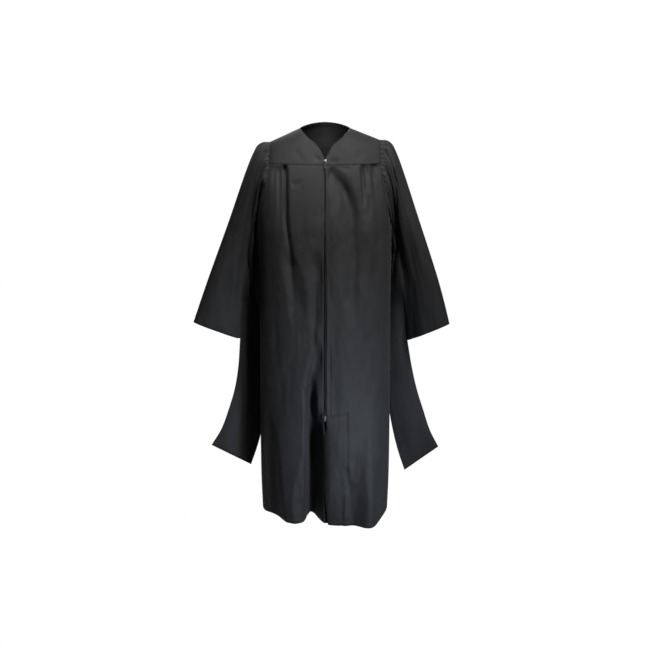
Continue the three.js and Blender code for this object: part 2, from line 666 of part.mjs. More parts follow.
// Slider: a plate before the chain and one behind it on a post, with an arched bail in front.
function zipSlider() {
  const outline = taperedOutline(SLIDER_TOP_HALF, SLIDER_END_HALF,
    SLIDER_HALF_LENGTH, -SLIDER_HALF_LENGTH, SLIDER_CORNER);
  const behind = TAPE_BACK + SEAM;
  const post = rectangle(-SLIDER_POST_HALF, SLIDER_POST_HALF, SLIDER_POST_FROM, SLIDER_POST_TO);
  const legEnd = BAIL_HALF_LENGTH - BAIL_BAR;
  const bailX = [-BAIL_HALF_WIDTH, BAIL_HALF_WIDTH];
  const rooted = PLATE_FACE + SLIDER_PLATE / 2;
  return join([
    plate(outline, PLATE_FACE, PLATE_BACK),
    plate(outline, behind, behind + SLIDER_PLATE),
    plate(post, PLATE_FACE + SLIDER_PLATE / 2, behind + SLIDER_PLATE / 2),
    plate(rectangle(...bailX, legEnd, BAIL_HALF_LENGTH), BAIL_FACE, rooted),
    plate(rectangle(...bailX, -BAIL_HALF_LENGTH, -legEnd), BAIL_FACE, rooted),
    plate(rectangle(...bailX, -BAIL_HALF_LENGTH, BAIL_HALF_LENGTH), BAIL_FACE, BAIL_FACE + BAIL_BAR),
  ]);
}

// Pull tab: hangs from a bar through the bail, which its window passes round.
function zipPull() {
  const top = PULL_BAR / 2;
  const outline = taperedOutline(PULL_HALF_WIDTH, PULL_HALF_WIDTH, top, top - PULL_LENGTH, PULL_CORNER);
  const window = rectangle(-PULL_WINDOW_HALF, PULL_WINDOW_HALF, -top - PULL_WINDOW_LENGTH, -top);
  return plate(outline, PULL_AXIS - PULL_THICK / 2, PULL_AXIS + PULL_THICK / 2, [window]);
}

function cloth(name, geometry, color = CLOTH_COLOR, metalness = 0) {
  const material = new THREE.MeshStandardMaterial({ color, metalness, roughness: 0.8 });
  const mesh = new THREE.Mesh(geometry, material);
  mesh.name = name;
  return mesh;
}

const gown = new THREE.Group();
gown.name = "graduation_gown";
gown.add(cloth("yoke_front_right", frontYoke(-1)));
gown.add(cloth("yoke_front_left", frontYoke(1)));
gown.add(cloth("yoke_back", backYoke()));
gown.add(cloth("front_right", frontPanel(-1)));
gown.add(cloth("front_left", frontPanel(1)));
gown.add(cloth("back", backPanel()));
gown.add(cloth("sleeve_front_right", sleeveLayer(-1, "right", -1)));
gown.add(cloth("sleeve_back_right", sleeveLayer(-1, "right", 1)));
gown.add(cloth("sleeve_front_left", sleeveLayer(1, "left", -1)));
gown.add(cloth("sleeve_back_left", sleeveLayer(1, "left", 1)));
gown.add(cloth("zip", zipChain(), ZIP_COLOR));

// The slider and its pull tab lie along the slope of the zip.
const fitting = new THREE.Group();
const slopeAtSlider = yokePoint(0, SLIDER_DROP - 1).y - yokePoint(0, SLIDER_DROP + 1).y;
fitting.position.copy(yokePoint(0, SLIDER_DROP));
fitting.rotation.x = -Math.atan2(slopeAtSlider, 2);
fitting.add(cloth("zip_slider", zipSlider(), METAL_COLOR, 1));
fitting.add(cloth("zip_pull", zipPull(), METAL_COLOR, 1));
gown.add(fitting);

export default gown;
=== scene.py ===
# %% [markdown]
# # A graduation gown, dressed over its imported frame
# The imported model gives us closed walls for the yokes, the fronts, the back, the sleeves and
# the zip. In this lesson we lay fine cloth on those same forms, crease it, hem it and sew it,
# and then give every finish its own nodes. All lengths in the tables are millimetres, because
# that is how a pattern cutter writes them, and they become metres only when a mesh is made.

# %% Load the frame and keep its box
import math

import bpy
import bmesh
import numpy as np
from mathutils import Matrix, Vector


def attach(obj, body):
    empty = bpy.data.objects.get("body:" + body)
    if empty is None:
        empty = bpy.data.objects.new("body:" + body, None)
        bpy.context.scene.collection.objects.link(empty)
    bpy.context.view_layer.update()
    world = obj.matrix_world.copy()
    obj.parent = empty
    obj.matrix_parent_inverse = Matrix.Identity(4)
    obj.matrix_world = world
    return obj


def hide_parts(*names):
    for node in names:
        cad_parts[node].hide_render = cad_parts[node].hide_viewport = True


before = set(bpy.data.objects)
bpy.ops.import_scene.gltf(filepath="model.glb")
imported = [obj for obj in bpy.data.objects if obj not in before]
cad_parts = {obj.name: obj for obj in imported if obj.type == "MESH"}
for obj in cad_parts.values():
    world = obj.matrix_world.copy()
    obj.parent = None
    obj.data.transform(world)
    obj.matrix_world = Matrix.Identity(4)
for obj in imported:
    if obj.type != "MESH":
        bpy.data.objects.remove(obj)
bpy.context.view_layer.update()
MM = 0.001

# %% [markdown]
# ## Camera
# The gown hangs at its own height and we look slightly down at it from a few steps away, as a
# catalogue photographer does. A longish lens keeps the sleeves from spreading. The aim is a
# point, so the camera is turned with `to_track_quat` instead of typing angles.

# %% Place the camera
CAMERA_AT, CAMERA_AIM = (0.0, -3.2, 0.3), (0.0, 0.0, -0.645)
SENSOR_WIDE, LENS_LONG = 36.0, 55.6


def in_scene(name, data):
    """A new object that holds the data, linked to the scene."""
    made = bpy.data.objects.new(name, data)
    bpy.context.collection.objects.link(made)
    return made


def aim_at(thing, at, aim):
    """Put a camera or a lamp somewhere and turn it towards a point."""
    thing.location = at
    thing.rotation_euler = (Vector(aim) - Vector(at)).to_track_quat("-Z", "Y").to_euler()


camera = in_scene("studio_camera", bpy.data.cameras.new("studio_camera"))
camera.data.sensor_width, camera.data.lens = SENSOR_WIDE, LENS_LONG
aim_at(camera, CAMERA_AT, CAMERA_AIM)
bpy.context.scene.camera = camera
print("camera at", CAMERA_AT, "looks at", CAMERA_AIM)

# %% [markdown]
# ## Studio floor and light
# Black cloth only shows its folds where light fades across them. So the main light is one
# soft lamp high on the right, with a cooler one low on the right for the skirt and two small
# ones for the shoulder and the inside of the neck. All four have a narrow beam, so that the
# white paper around the gown throws little light back and the deep folds stay dark. A broad
# lamp behind shows the back. The floor and the surround are drawn bright for the camera, but
# light the cloth only with what falls on them.

# %% Build the floor and the surround
FLOOR_LEVEL, FLOOR_HALF, PAPER_TONE = -1.62, 9, 0.78
SURROUND_LIGHT, SURROUND_TINT = 0.015, (0.93, 0.96, 1.0, 1)


def camera_sees(owner, end, falls, shows):
    """Nodes that show one shader to the camera, while light meets another."""
    owner.use_nodes = True
    nodes, links = owner.node_tree.nodes, owner.node_tree.links
    nodes.clear()
    kinds = (end, "MixShader", "LightPath", falls, shows)
    surface, blend, ray, unseen, seen = (nodes.new("ShaderNode" + kind) for kind in kinds)
    links.new(ray.outputs["Is Camera Ray"], blend.inputs["Fac"])
    links.new(unseen.outputs[0], blend.inputs[1])
    links.new(seen.outputs[0], blend.inputs[2])
    links.new(blend.outputs[0], surface.inputs["Surface"])
    return unseen, seen


floor_mesh = bpy.data.meshes.new("paper_floor")
floor_corners = [(x * FLOOR_HALF, y * FLOOR_HALF, 0) for x, y in ((-1, -1), (1, -1), (1, 1), (-1, 1))]
floor_mesh.from_pydata(floor_corners, [], [(0, 1, 2, 3)])
floor = in_scene("paper_floor", floor_mesh)
floor.location.z = FLOOR_LEVEL

paper = bpy.data.materials.new("white_paper")
matt = camera_sees(paper, "OutputMaterial", "BsdfDiffuse", "Emission")[0]
matt.inputs["Color"].default_value = (PAPER_TONE, PAPER_TONE, PAPER_TONE, 1)
floor_mesh.materials.append(paper)

world = bpy.data.worlds.new("studio_surround")
bpy.context.scene.world = world
dim, bright = camera_sees(world, "OutputWorld", "Background", "Background")
dim.inputs["Color"].default_value = SURROUND_TINT
dim.inputs["Strength"].default_value = SURROUND_LIGHT
bright.inputs["Color"].default_value = (1, 1, 1, 1)
print("floor at", FLOOR_LEVEL, "m, surround strength", SURROUND_LIGHT)

# %% Light the studio
def softbox(name, at, aim, size, watts, beam=180, color=(1, 1, 1)):
    """A square lamp with a beam of so many degrees, turned towards a point."""
    data = bpy.data.lights.new(name, "AREA")
    data.shape = "RECTANGLE"
    data.size, data.size_y = size, size
    data.energy, data.spread, data.color = watts, math.radians(beam), color
    aim_at(in_scene(name, data), at, aim)


softbox("key_softbox", (0.9, -1.7, 2.4), (0.0, 0, -0.44), 0.6, 2.9, 21, (1.0, 0.985, 0.95))
softbox("low_softbox", (0.85, -1.45, -1.0), (-0.05, 0, -1.04), 0.25, 1.75, 48, (0.8, 0.89, 1.0))
softbox("shoulder_softbox", (-0.4, -1.3, 1.9), (-0.125, -0.07, -0.07), 0.08, 0.07, 8)
softbox("neck_softbox", (-0.25, -1.7, 0.4), (0.012, 0.05, 0.0), 0.05, 0.017, 5)
softbox("back_softbox", (-0.6, 2.4, 1.9), (0, 0, -0.5), 1.8, 60)
bpy.context.scene.view_settings.view_transform = "Standard"
print("lamps:", ", ".join(lamp.name for lamp in bpy.data.lights))

# %% [markdown]
# ## The pattern in numbers
# A pattern cutter works from a few measures: neck, shoulder, armhole, body width, length. We
# keep the same measures as the frame, so every piece lies where its wall is. A "drop" is how
# far a point is below the shoulder's neck point. `curve_through` draws a smooth line through
# two columns of a table, the way a cutter draws through marks with a curved ruler.

# %% Measures and smooth curves
GOWN_LENGTH = 1295
NECK_HALF = 78
NECK_BACK_RISE, NECK_BACK_STAND = 12, 60
SHOULDER_HALF, SHOULDER_ROUND = 173, 140
SHOULDER_DROP_RIGHT, SHOULDER_DROP_LEFT = 43, 37
FRONT_YOKE_DROP, BACK_YOKE_DROP = 103, 132
UNDERARM_HALF, UNDERARM_DROP, ARMHOLE_CURVE = 214, 310, 2.2
SQUARENESS = 2.3
ZIP_HALF, ZIP_TOP_DROP, ZIP_END_DROP = 2.6, 93, 892
FLAT_BESIDE_ZIP, SLIT_GAP = 20, 1
SIDE_WORD, LAYER_WORD = {-1: "right", 1: "left"}, {-1: "front", 1: "back"}


def smoothstep(value, low, high):
    """A share that eases from 0 to 1 between two values."""
    share = np.clip((np.asarray(value, float) - low) / (high - low), 0.0, 1.0)
    return share * share * (3.0 - 2.0 * share)


def mix(first, second, share):
    return first + (second - first) * share


def curve_through(xs, ys):
    """A smooth curve through marks, to be read anywhere along it."""
    before = np.maximum(np.arange(len(xs)) - 1, 0)
    after = np.minimum(np.arange(len(xs)) + 1, len(xs) - 1)
    slopes = (ys[after] - ys[before]) / (xs[after] - xs[before])

    def curve(where):
        i = np.clip(np.searchsorted(xs, where, side="right") - 1, 0, len(xs) - 2)
        step, rise = xs[i + 1] - xs[i], ys[i + 1] - ys[i]
        t = np.clip((where - xs[i]) / step, 0.0, 1.0)
        bend = (slopes[i] * step - rise) * (1 - t) + (rise - slopes[i + 1] * step) * t
        return ys[i] + rise * t + t * (1 - t) * bend

    return curve


def curves(columns, *rows):
    """Curves down the named columns of a table, all read against the first."""
    marks = np.array(rows, float).T
    return {name: curve_through(marks[0], column) for name, column in zip(columns.split(), marks)}


print("gown length", GOWN_LENGTH, "mm, neck", 2 * NECK_HALF, "mm wide")

# %% [markdown]
# ## The body's plan
# Seen from above, the worn gown is a squared oval that gets deeper towards the hem. At the top
# it rounds over the shoulders. We could model this with a handful of loops and a subdivision
# surface. A formula with a short table is steadier here, because the front, the back and the
# stitches can then all ask for the same surface.

# %% The body's surface
EASE_WIDE, EASE_BELOW, EASE_FROM, EASE_TO = 45, 70, 105, 150
body_at = curves(
    "drop half front back",
    (-20, 190, 86, 98), (60, 194, 90, 100), (103, 198, 97, 105), (180, 207, 119, 114),
    (250, 212, 134, 122), (310, 214, 143, 128), (600, 215, 153, 138), (900, 219, 159, 146),
    (1170, 220, 165, 153), (1295, 217, 170, 157),
)
half_width_at, front_depth_at, back_depth_at = (body_at[key] for key in ("half", "front", "back"))
slit_at = curves("drop x", (955, 0), (1020, -8), (1100, -9), (1210, 0), (1295, 9))["x"]


def across_share(x, drop):
    """How much of the depth is left towards the sides."""
    share = np.minimum(np.abs(x) / half_width_at(drop), 1.0)
    return (1.0 - share**SQUARENESS) ** (1.0 / SQUARENESS)


def shoulder_rounding(below):
    k = np.clip(below / SHOULDER_ROUND, 0.0, 1.0)
    return np.sqrt(1.0 - (1.0 - k) ** 2)


def shoulder_tip(x):
    return np.where(np.asarray(x) < 0, SHOULDER_DROP_RIGHT, SHOULDER_DROP_LEFT)


def shoulder_line(x):
    share = (np.abs(x) - NECK_HALF) / (SHOULDER_HALF - NECK_HALF)
    return shoulder_tip(x) * np.clip(share, 0.0, 1.0)


def neck_stand(x):
    return NECK_BACK_STAND * (1.0 - np.minimum(np.abs(x) / NECK_HALF, 1.0) ** 2)


def eased(line, x, drop):
    """A line across the shoulders with its bend at the neck point eased below the seam."""
    width = EASE_WIDE * smoothstep(drop, 0, EASE_BELOW) * (1 - smoothstep(np.abs(x), EASE_FROM, EASE_TO))
    steps = np.linspace(-1, 1, 11)
    weights = 1 - steps**2
    return sum(w * line(x + step * width) for step, w in zip(steps, weights)) / weights.sum()


def front_depth(x, drop):
    rounded = shoulder_rounding(drop - eased(shoulder_line, x, drop))
    return front_depth_at(drop) * across_share(x, drop) * rounded


def back_depth(x, drop):
    rise = lambda place: shoulder_line(place) - neck_stand(place)
    rounded = shoulder_rounding(drop - eased(rise, x, drop))
    return back_depth_at(drop) * across_share(x, drop) * rounded


def side_edge(drop, side):
    """Outer limit of the body pieces: the armhole, then the side seam."""
    tip = shoulder_tip(side)
    share = np.clip((drop - tip) / (UNDERARM_DROP - tip), 0.0, 1.0)
    armhole = mix(SHOULDER_HALF, UNDERARM_HALF, share**ARMHOLE_CURVE)
    return np.where(np.asarray(drop) < UNDERARM_DROP, armhole, half_width_at(drop))


print("body depth at the hem", round(float(front_depth(0, 1295) + back_depth(0, 1295))), "mm")

# %% [markdown]
# ## Folds and creases
# Cloth folds for a reason: a tuck sewn into the yoke opens downwards, a zip holds a strip flat,
# a loose hem swings into deep flutes. The broad folds below are the frame's own. The creases
# are finer lines drawn along a path, each with its own width on either side and, for a
# pressed tuck, a raised lip. A cloth simulation would find folds too, but not these ones.

# %% Broad folds of the body
# top x and drop, end x and drop, sweep, depth, length to grow and to fade, width on the left and right
FRONT_FOLDS = [
    (-124, 103, -74, 650, 0.45, 9, 24, 330, 15, 7),
    (-143, 103, -140, 330, 1, 8, 30, 200, 6, 6),
    (-158, 103, -162, 280, 1, 6, 30, 170, 5, 5),
    (-24, 400, -22, 760, 1, 8, 150, 150, 12, 8),
    (-46, 740, -50, 1295, 1, 104, 320, 0, 9, 26),
    (-185, 700, -192, 1295, 1, 44, 560, 0, 30, 32),
    (16, 128, 92, 600, 6, 7, 60, 260, 19, 15),
    (114, 103, 122, 300, 1, 8, 30, 180, 6, 7),
    (131, 103, 138, 260, 1, 7, 30, 150, 5, 5),
    (148, 103, 156, 280, 1, 7, 30, 170, 5, 5),
    (118, 560, 112, 1295, 1, 8, 400, 0, 22, 22),
    (160, 860, 162, 1295, 1, -66, 420, 0, 38, 26),
]
BACK_FOLDS = [
    (-112, 132, -128, 1295, 1, 14, 40, 0, 11, 14),
    (-78, 132, -86, 640, 1, 9, 40, 320, 9, 9),
    (-44, 132, -46, 1295, 1, 15, 40, 0, 12, 12),
    (-12, 132, -6, 560, 1, 8, 40, 300, 9, 9),
    (22, 132, 38, 1295, 1, 16, 40, 0, 13, 12),
    (58, 132, 62, 600, 1, 9, 40, 320, 9, 9),
    (96, 132, 118, 1295, 1, 14, 40, 0, 12, 13),
]


def fold_push(folds, x, drop):
    """How far a table of folds pushes the cloth in, or a ridge lifts it out."""
    total = np.zeros(np.broadcast(x, drop).shape)
    for top_x, top_drop, end_x, end_drop, sweep, depth, grow, fade, left, right in folds:
        t = (drop - top_drop) / (end_drop - top_drop)
        centre = mix(top_x, end_x, 1 - (1 - np.clip(t, 0, 1)) ** sweep)
        profile = np.exp(-0.5 * ((x - centre) / np.where(x < centre, left, right)) ** 2)
        ends = smoothstep(drop - top_drop, 0, grow)
        if fade:
            ends = ends * smoothstep(end_drop - drop, 0, fade)
        total += np.where((t >= 0) & (t <= 1), depth * profile * ends, 0.0)
    return total


print(len(FRONT_FOLDS), "broad folds in the fronts,", len(BACK_FOLDS), "in the back")

# %% Crease and wave helpers
CREASE_REACH, LIP_AWAY, LIP_WIDE = 5, 2.2, 1.3
LATTICE, SHIFT_A, SHIFT_B = 64, 31.3, 7.7


def crease(path, depth, left, right, lip=0.0, start=0.25, stop=0.35):
    """One crease line: its path, its depth and the width of its two flanks.

    A positive lip raises the cloth on the right of the line, a negative one on the left.
    """
    return smooth_path(path), depth, left, right, lip, start, stop


def smooth_path(marks, step=4.0):
    """Points every few millimetres on a smooth line through given marks."""
    marks = np.array(marks, float)
    lengths = np.r_[0, np.cumsum(np.linalg.norm(np.diff(marks, axis=0), axis=1))]
    at = np.linspace(0, lengths[-1], max(int(lengths[-1] / step), 4))
    return np.stack([curve_through(lengths, column)(at) for column in marks.T], -1)


def crease_push(creases, a, b):
    """How far drawn creases push the cloth in, at places given across and along it."""
    a, b = np.broadcast_arrays(np.asarray(a, float), np.asarray(b, float))
    total = np.zeros(a.shape)
    for path, depth, left, right, lip, start, stop in creases:
        margin = CREASE_REACH * max(left, right)
        low, high = path.min(0) - margin, path.max(0) + margin
        near = (a > low[0]) & (a < high[0]) & (b > low[1]) & (b < high[1])
        if not near.any():
            continue
        offset = np.stack([a[near], b[near]], -1)[:, None, :] - path[None]
        nearest = (offset**2).sum(-1).argmin(1)
        offset = offset[np.arange(len(nearest)), nearest]
        run = np.gradient(path, axis=0)[nearest]
        side = np.sign(offset[:, 0] * run[:, 1] - offset[:, 1] * run[:, 0])
        distance = side * np.linalg.norm(offset, axis=1)
        profile = depth * np.exp(-0.5 * (distance / np.where(distance < 0, left, right)) ** 2)
        if lip:
            flank = right if lip > 0 else -left
            crest = np.exp(-0.5 * ((distance - LIP_AWAY * flank) / (LIP_WIDE * flank)) ** 2)
            profile = profile - abs(lip) * crest
        t = nearest / (len(path) - 1)
        ends = np.ones(len(t))
        if start:
            ends = ends * smoothstep(t, 0, start)
        if stop:
            ends = ends * smoothstep(1 - t, 0, stop)
        total[near] += profile * ends
    return total


def soft_unevenness(seed, a, b, cell_a, cell_b):
    """Smooth seeded waves between -1 and 1, about one to a cell."""
    lattice = np.random.default_rng(seed).uniform(-1, 1, (LATTICE, LATTICE))
    a, b = np.asarray(a, float) / cell_a + SHIFT_A, np.asarray(b, float) / cell_b + SHIFT_B
    a, b = np.broadcast_arrays(a, b)
    i, j = np.floor(a).astype(int), np.floor(b).astype(int)
    s, t = a - i, b - j
    s, t = s**3 * (s * (6 * s - 15) + 10), t**3 * (t * (6 * t - 15) + 10)
    corner = lambda di, dj: lattice[(i + di) % LATTICE, (j + dj) % LATTICE]
    return mix(mix(corner(0, 0), corner(1, 0), s), mix(corner(0, 1), corner(1, 1), s), t)


def waves(rows, a, b):
    """Waves added up, each with its height, seed, slant and cell across and along."""
    return sum(height * soft_unevenness(seed, a + slant * b, b, wide, long)
               for height, seed, slant, wide, long in rows)


print("a crease reaches", CREASE_REACH, "times its width")

# %% Draw the creases
FRONT_CREASES = [
    crease([(-124, 100), (-121, 171), (-121, 273), (-114, 340), (-106, 400)], 15, 4.6, 4.0, 2.0, 0, 0.6),
    crease([(-113, 351), (-93, 466), (-81, 547), (-72, 611)], 9, 20, 13, 1.5),
    crease([(-112, 152), (-90, 162), (-66, 146)], 2.4, 6, 6),
    crease([(-29, 345), (-24, 428), (-24, 500), (-26, 573), (-19, 650)], 11, 13, 11, 0, 0.3, 0.3),
    crease([(-10, 630), (-28, 721), (-42, 778), (-50, 850), (-52, 930)], 15, 11, 14, 0, 0.35, 0.4),
    crease([(-76, 803), (-66, 822), (-56, 846)], 3.5, 3.2, 3.2, 1.2),
    crease([(-200, 770), (-180, 880), (-158, 997), (-146, 1144), (-136, 1223), (-124, 1296)],
           -15, 16, 34, 0, 0.5, 0),
    crease([(-210, 800), (-194, 900), (-178, 1010), (-168, 1140), (-158, 1296)], 7, 30, 15, 0, 0.3, 0),
    crease([(4, 108), (33, 144), (55, 169), (78, 220), (90, 271), (92, 323), (88, 394), (83, 490),
            (80, 600)], 10.5, 16, 14, 1.0, 0.06, 0.2),
    crease([(34, 106), (58, 112), (84, 120)], 2.2, 4, 4),
    crease([(113, 100), (115, 129), (118, 172), (123, 240)], 7, 3, 9, -2.4, 0, 0.6),
    crease([(138, 185), (137, 225), (134, 290)], 5, 4, 7, 0, 0.3, 0.6),
    crease([(150, 100), (154, 150), (164, 215), (178, 285)], 11, 8, 16, 0, 0, 0.5),
    crease([(122, 300), (122, 396), (113, 500)], 3.5, 12, 10),
    crease([(63, 1080), (76, 1130), (86, 1190)], 5, 6, 10, 1.0),
    crease([(-64, 1030), (-62, 1160), (-61, 1296)], 26, 36, 2.5, 0, 0.9, 0),
    crease([(70, 1150), (68, 1232), (66, 1296)], -5, 5, 11, 0, 0.5, 0),
    crease([(15, 560), (16, 700), (17, 905)], 1.8, 1.8, 2.4, 0, 0.3, 0),
    crease([(2, 922), (30, 914), (70, 906)], 3.2, 3.0, 4.0, 1.0, 0.2, 0),
    crease([(70, 909), (71, 1000), (71, 1082), (69, 1172)], 3.2, 2.4, 3.4, -1.4, 0, 0.3),
]
FRONT_CREASES += [
    crease([(x, 100), (x + lean, 100 + long)], depth, 3.2, 3.2, 1.0, 0, 0.9)
    for x, lean, long, depth in (
        (126, 3, 34, 3.0), (137, 4, 26, 3.4), (157, 2, 30, 3.0), (172, 4, 22, 2.6), (-136, -2, 30, 2.6),
        (-151, -3, 34, 3.0), (-166, -2, 24, 2.4), (-88, 3, 18, 1.4), (-52, 1, 16, 1.2), (92, 3, 20, 1.6))
]
BACK_CREASES = [
    crease([(x, 128), (x + lean, 128 + long)], depth, 3.4, 2.6, 1.2, 0, 0.8)
    for x, lean, long, depth in (
        (-112, -3, 120, 4.0), (-78, -2, 90, 3.4), (-44, 1, 130, 4.0), (-12, 2, 80, 3.2), (22, 3, 120, 4.2),
        (58, 2, 90, 3.2), (96, 5, 120, 4.0), (-140, -4, 50, 2.2), (128, 4, 50, 2.2))
] + [
    crease([(-160, 420), (-120, 560), (-96, 720)], 5, 12, 9),
    crease([(150, 380), (120, 520), (104, 690)], 5, 9, 12),
    crease([(-70, 820), (-84, 960), (-88, 1130)], 6, 10, 12),
    crease([(74, 760), (80, 930), (76, 1120)], 6, 12, 10),
    crease([(-4, 880), (8, 1010), (4, 1180)], 5, 11, 10),
]
print(len(FRONT_CREASES) + len(BACK_CREASES), "creases drawn by hand")

# %% The dressed front and back surfaces
TUCK_UNDER, SEAM_HOLD, HELD_OVER, LAP_FROM, LAP_TO = 0.3, 0.25, 12, 1, 9
SIDE_POWER = 6
ZIP_HOLD, ZIP_LETS_GO = (3, 14), (ZIP_END_DROP, ZIP_END_DROP + 40)
FOLDS_MEET = (ZIP_END_DROP - 30, ZIP_END_DROP + 75)
FRONT_WAVES_GROW, BACK_WAVES_GROW = (110, 200), (140, 240)
# height, seed, slant, and the cell across and along
FRONT_WAVES = [(2.6, 3, 0, 38, 260), (1.4, 5, 0, 17, 90), (1.15, 7, 0.4, 24, 34), (0.45, 13, -0.3, 11, 19)]
BACK_WAVES = [(2.6, 11, 0, 40, 260), (1.0, 13, 0, 17, 90), (0.8, 15, -0.4, 24, 34)]


def as_grids(x, drop):
    return np.broadcast_arrays(np.asarray(x, float), np.asarray(drop, float))


def side_share(x, drop):
    """Folds die out towards the side seams."""
    return 1 - np.minimum(np.abs(x) / half_width_at(drop), 1.0) ** SIDE_POWER


def beside_share(x, drop):
    """Broad folds also keep flat beside the zip."""
    beside = smoothstep(np.abs(x), FLAT_BESIDE_ZIP, 2 * FLAT_BESIDE_ZIP)
    return side_share(x, drop) * mix(beside, 1.0, smoothstep(drop, *FOLDS_MEET))


def held_at_seam(push, drop, seam):
    """Folds start small where a yoke's seam holds them, and the cloth tucks under the yoke."""
    push = push * mix(SEAM_HOLD, 1.0, smoothstep(drop, seam, seam + HELD_OVER))
    return push + TUCK_UNDER * (1 - smoothstep(drop, seam + LAP_FROM, seam + LAP_TO))


def front_surface(x, drop):
    """Points of the fronts, in millimetres, for places across and below the shoulder."""
    x, drop = as_grids(x, drop)
    side = side_share(x, drop)
    near_zip = mix(smoothstep(np.abs(x), *ZIP_HOLD), 1.0, smoothstep(drop, *ZIP_LETS_GO))
    push = fold_push(FRONT_FOLDS, x, drop) * beside_share(x, drop)
    push = push + crease_push(FRONT_CREASES, x, drop) * side * near_zip
    push = push + waves(FRONT_WAVES, x, drop) * side * near_zip * smoothstep(drop, *FRONT_WAVES_GROW)
    push = held_at_seam(push, drop, FRONT_YOKE_DROP)
    return np.stack([x, push - front_depth(x, drop), -drop], -1)


def back_surface(x, drop):
    """Points of the back below its yoke."""
    x, drop = as_grids(x, drop)
    side = side_share(x, drop)
    push = (fold_push(BACK_FOLDS, x, drop) + crease_push(BACK_CREASES, x, drop)) * side
    push = push + waves(BACK_WAVES, x, drop) * side * smoothstep(drop, *BACK_WAVES_GROW)
    push = held_at_seam(push, drop, BACK_YOKE_DROP)
    return np.stack([x, back_depth(x, drop) - push, -drop], -1)


print("front at the chest", front_surface(60, 250).round(1), "mm")

# %% [markdown]
# ## From points to cloth
# Each piece starts as a grid of points on its surface. We turn the grid into faces, give it a
# UV map measured in metres of cloth, so that a thread is the same size everywhere, and let the
# Solidify modifier give it thickness. Edges that a seamstress turns under get a second strip
# lying just inside the first: that is what a hem really is.

# %% Grid, hem and sheet helpers
CLOTH_THICK, HEM_GAP, ROLL_OUT = 1.0, 1.5, 0.45
TINY = 1e-9


def unit(vectors):
    """Vectors made one long."""
    return vectors / np.maximum(np.linalg.norm(vectors, axis=-1, keepdims=True), TINY)


def grid_normals(points, outward):
    """Unit normals of a grid, all on the side that a direction or a field of them points to."""
    normals = unit(np.cross(np.gradient(points, axis=0), np.gradient(points, axis=1)))
    return normals * np.sign((normals * outward).sum(-1).mean())


def turned_edge(points, normals, width):
    """A strip turned under along the first row of a grid, back over a given width."""
    away = unit(points[0] - points[1])
    steps = np.linalg.norm(np.diff(points, axis=0), axis=-1).mean(1)
    count = max(int(np.searchsorted(np.cumsum(steps), width)) + 1, 2)
    roll = [points[0] + ROLL_OUT * away - turn * HEM_GAP * normals[0] for turn in (0.3, 0.7)]
    under = [points[k] - HEM_GAP * normals[k] for k in range(count + 1)]
    return np.array([points[0]] + roll + under)


def cloth_uv(points):
    """Where each grid point lies on the flat cloth, in metres across and along."""
    over = np.linalg.norm(np.diff(points, axis=1), axis=-1)
    down = np.linalg.norm(np.diff(points, axis=0), axis=-1)
    u = np.concatenate([np.zeros((len(points), 1)), np.cumsum(over, 1)], 1)
    v = np.concatenate([np.zeros((1, points.shape[1])), np.cumsum(down, 0)], 0)
    return np.stack([u - u[:, [u.shape[1] // 2]], v], -1) * MM


def new_piece(name, places, faces, material, body="gown"):
    """A smooth mesh of points in metres and faces, riding on a body."""
    mesh = bpy.data.meshes.new(name)
    mesh.from_pydata(places, [], faces)
    mesh.polygons.foreach_set("use_smooth", [True] * len(mesh.polygons))
    mesh.materials.append(material)
    piece = in_scene(name, mesh)
    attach(piece, body)
    return piece


def cloth_piece(name, grids, material, keep=None, thick=CLOTH_THICK):
    """Cloth from one or more grids; `keep` marks the cells of the first that are cloth."""
    places, faces, flat, first = [], [], [], 0
    for points in grids:
        rows, columns = points.shape[:2]
        index = first + np.arange(rows * columns).reshape(rows, columns)
        quads = np.stack([index[:-1, :-1], index[1:, :-1], index[1:, 1:], index[:-1, 1:]], -1)
        faces.append(quads.reshape(-1, 4) if first or keep is None else quads[keep])
        places.append(points.reshape(-1, 3) * MM)
        flat.append(cloth_uv(points).reshape(-1, 2))
        first += rows * columns
    used, packed = np.unique(np.concatenate(faces), return_inverse=True)
    faces = packed.reshape(-1, 4)
    piece = new_piece(name, np.concatenate(places)[used].tolist(), faces.tolist(), material)
    layer = piece.data.uv_layers.new(name="cloth")
    layer.data.foreach_set("uv", np.concatenate(flat)[used][faces.ravel()].ravel())
    wall = piece.modifiers.new("thickness", "SOLIDIFY")
    wall.thickness, wall.offset, wall.use_quality_normals = thick * MM, 0.0, True
    return piece


def spread(count, power=1.0):
    """Shares from 0 to 1, closer together at the start when the power is above 1."""
    return np.linspace(0.0, 1.0, count + 1) ** power


print("cloth", CLOTH_THICK, "mm thick")

# %% [markdown]
# ## Finishes
# The gown is matt black woven polyester. Close up it is a plain weave of fine threads; from a
# few steps away it is only a soft sheen that brightens where the cloth turns. The weave is
# used by the cloth and by the zip's tape, so it is a node group with its own thread count and
# unevenness. Handling marks and worn metal edges are shared as well, so they are groups too.

# %% Node group helpers
def node_group(name, inputs, outputs):
    """An empty shader group with named sockets, and its two end nodes."""
    group = bpy.data.node_groups.new(name, "ShaderNodeTree")
    for socket, kind, value in inputs:
        made = group.interface.new_socket(socket, in_out="INPUT", socket_type=kind)
        if value is not None:
            made.default_value = value
    for socket in outputs:
        group.interface.new_socket(socket, in_out="OUTPUT", socket_type="NodeSocketFloat")
    return group, group.nodes.new("NodeGroupInput"), group.nodes.new("NodeGroupOutput")


def feed(tree, node, inputs):
    """Link a node's inputs to sockets, or give them plain values."""
    for socket, value in inputs.items():
        if isinstance(value, bpy.types.NodeSocket):
            tree.links.new(value, node.inputs[socket])
        else:
            node.inputs[socket].default_value = value


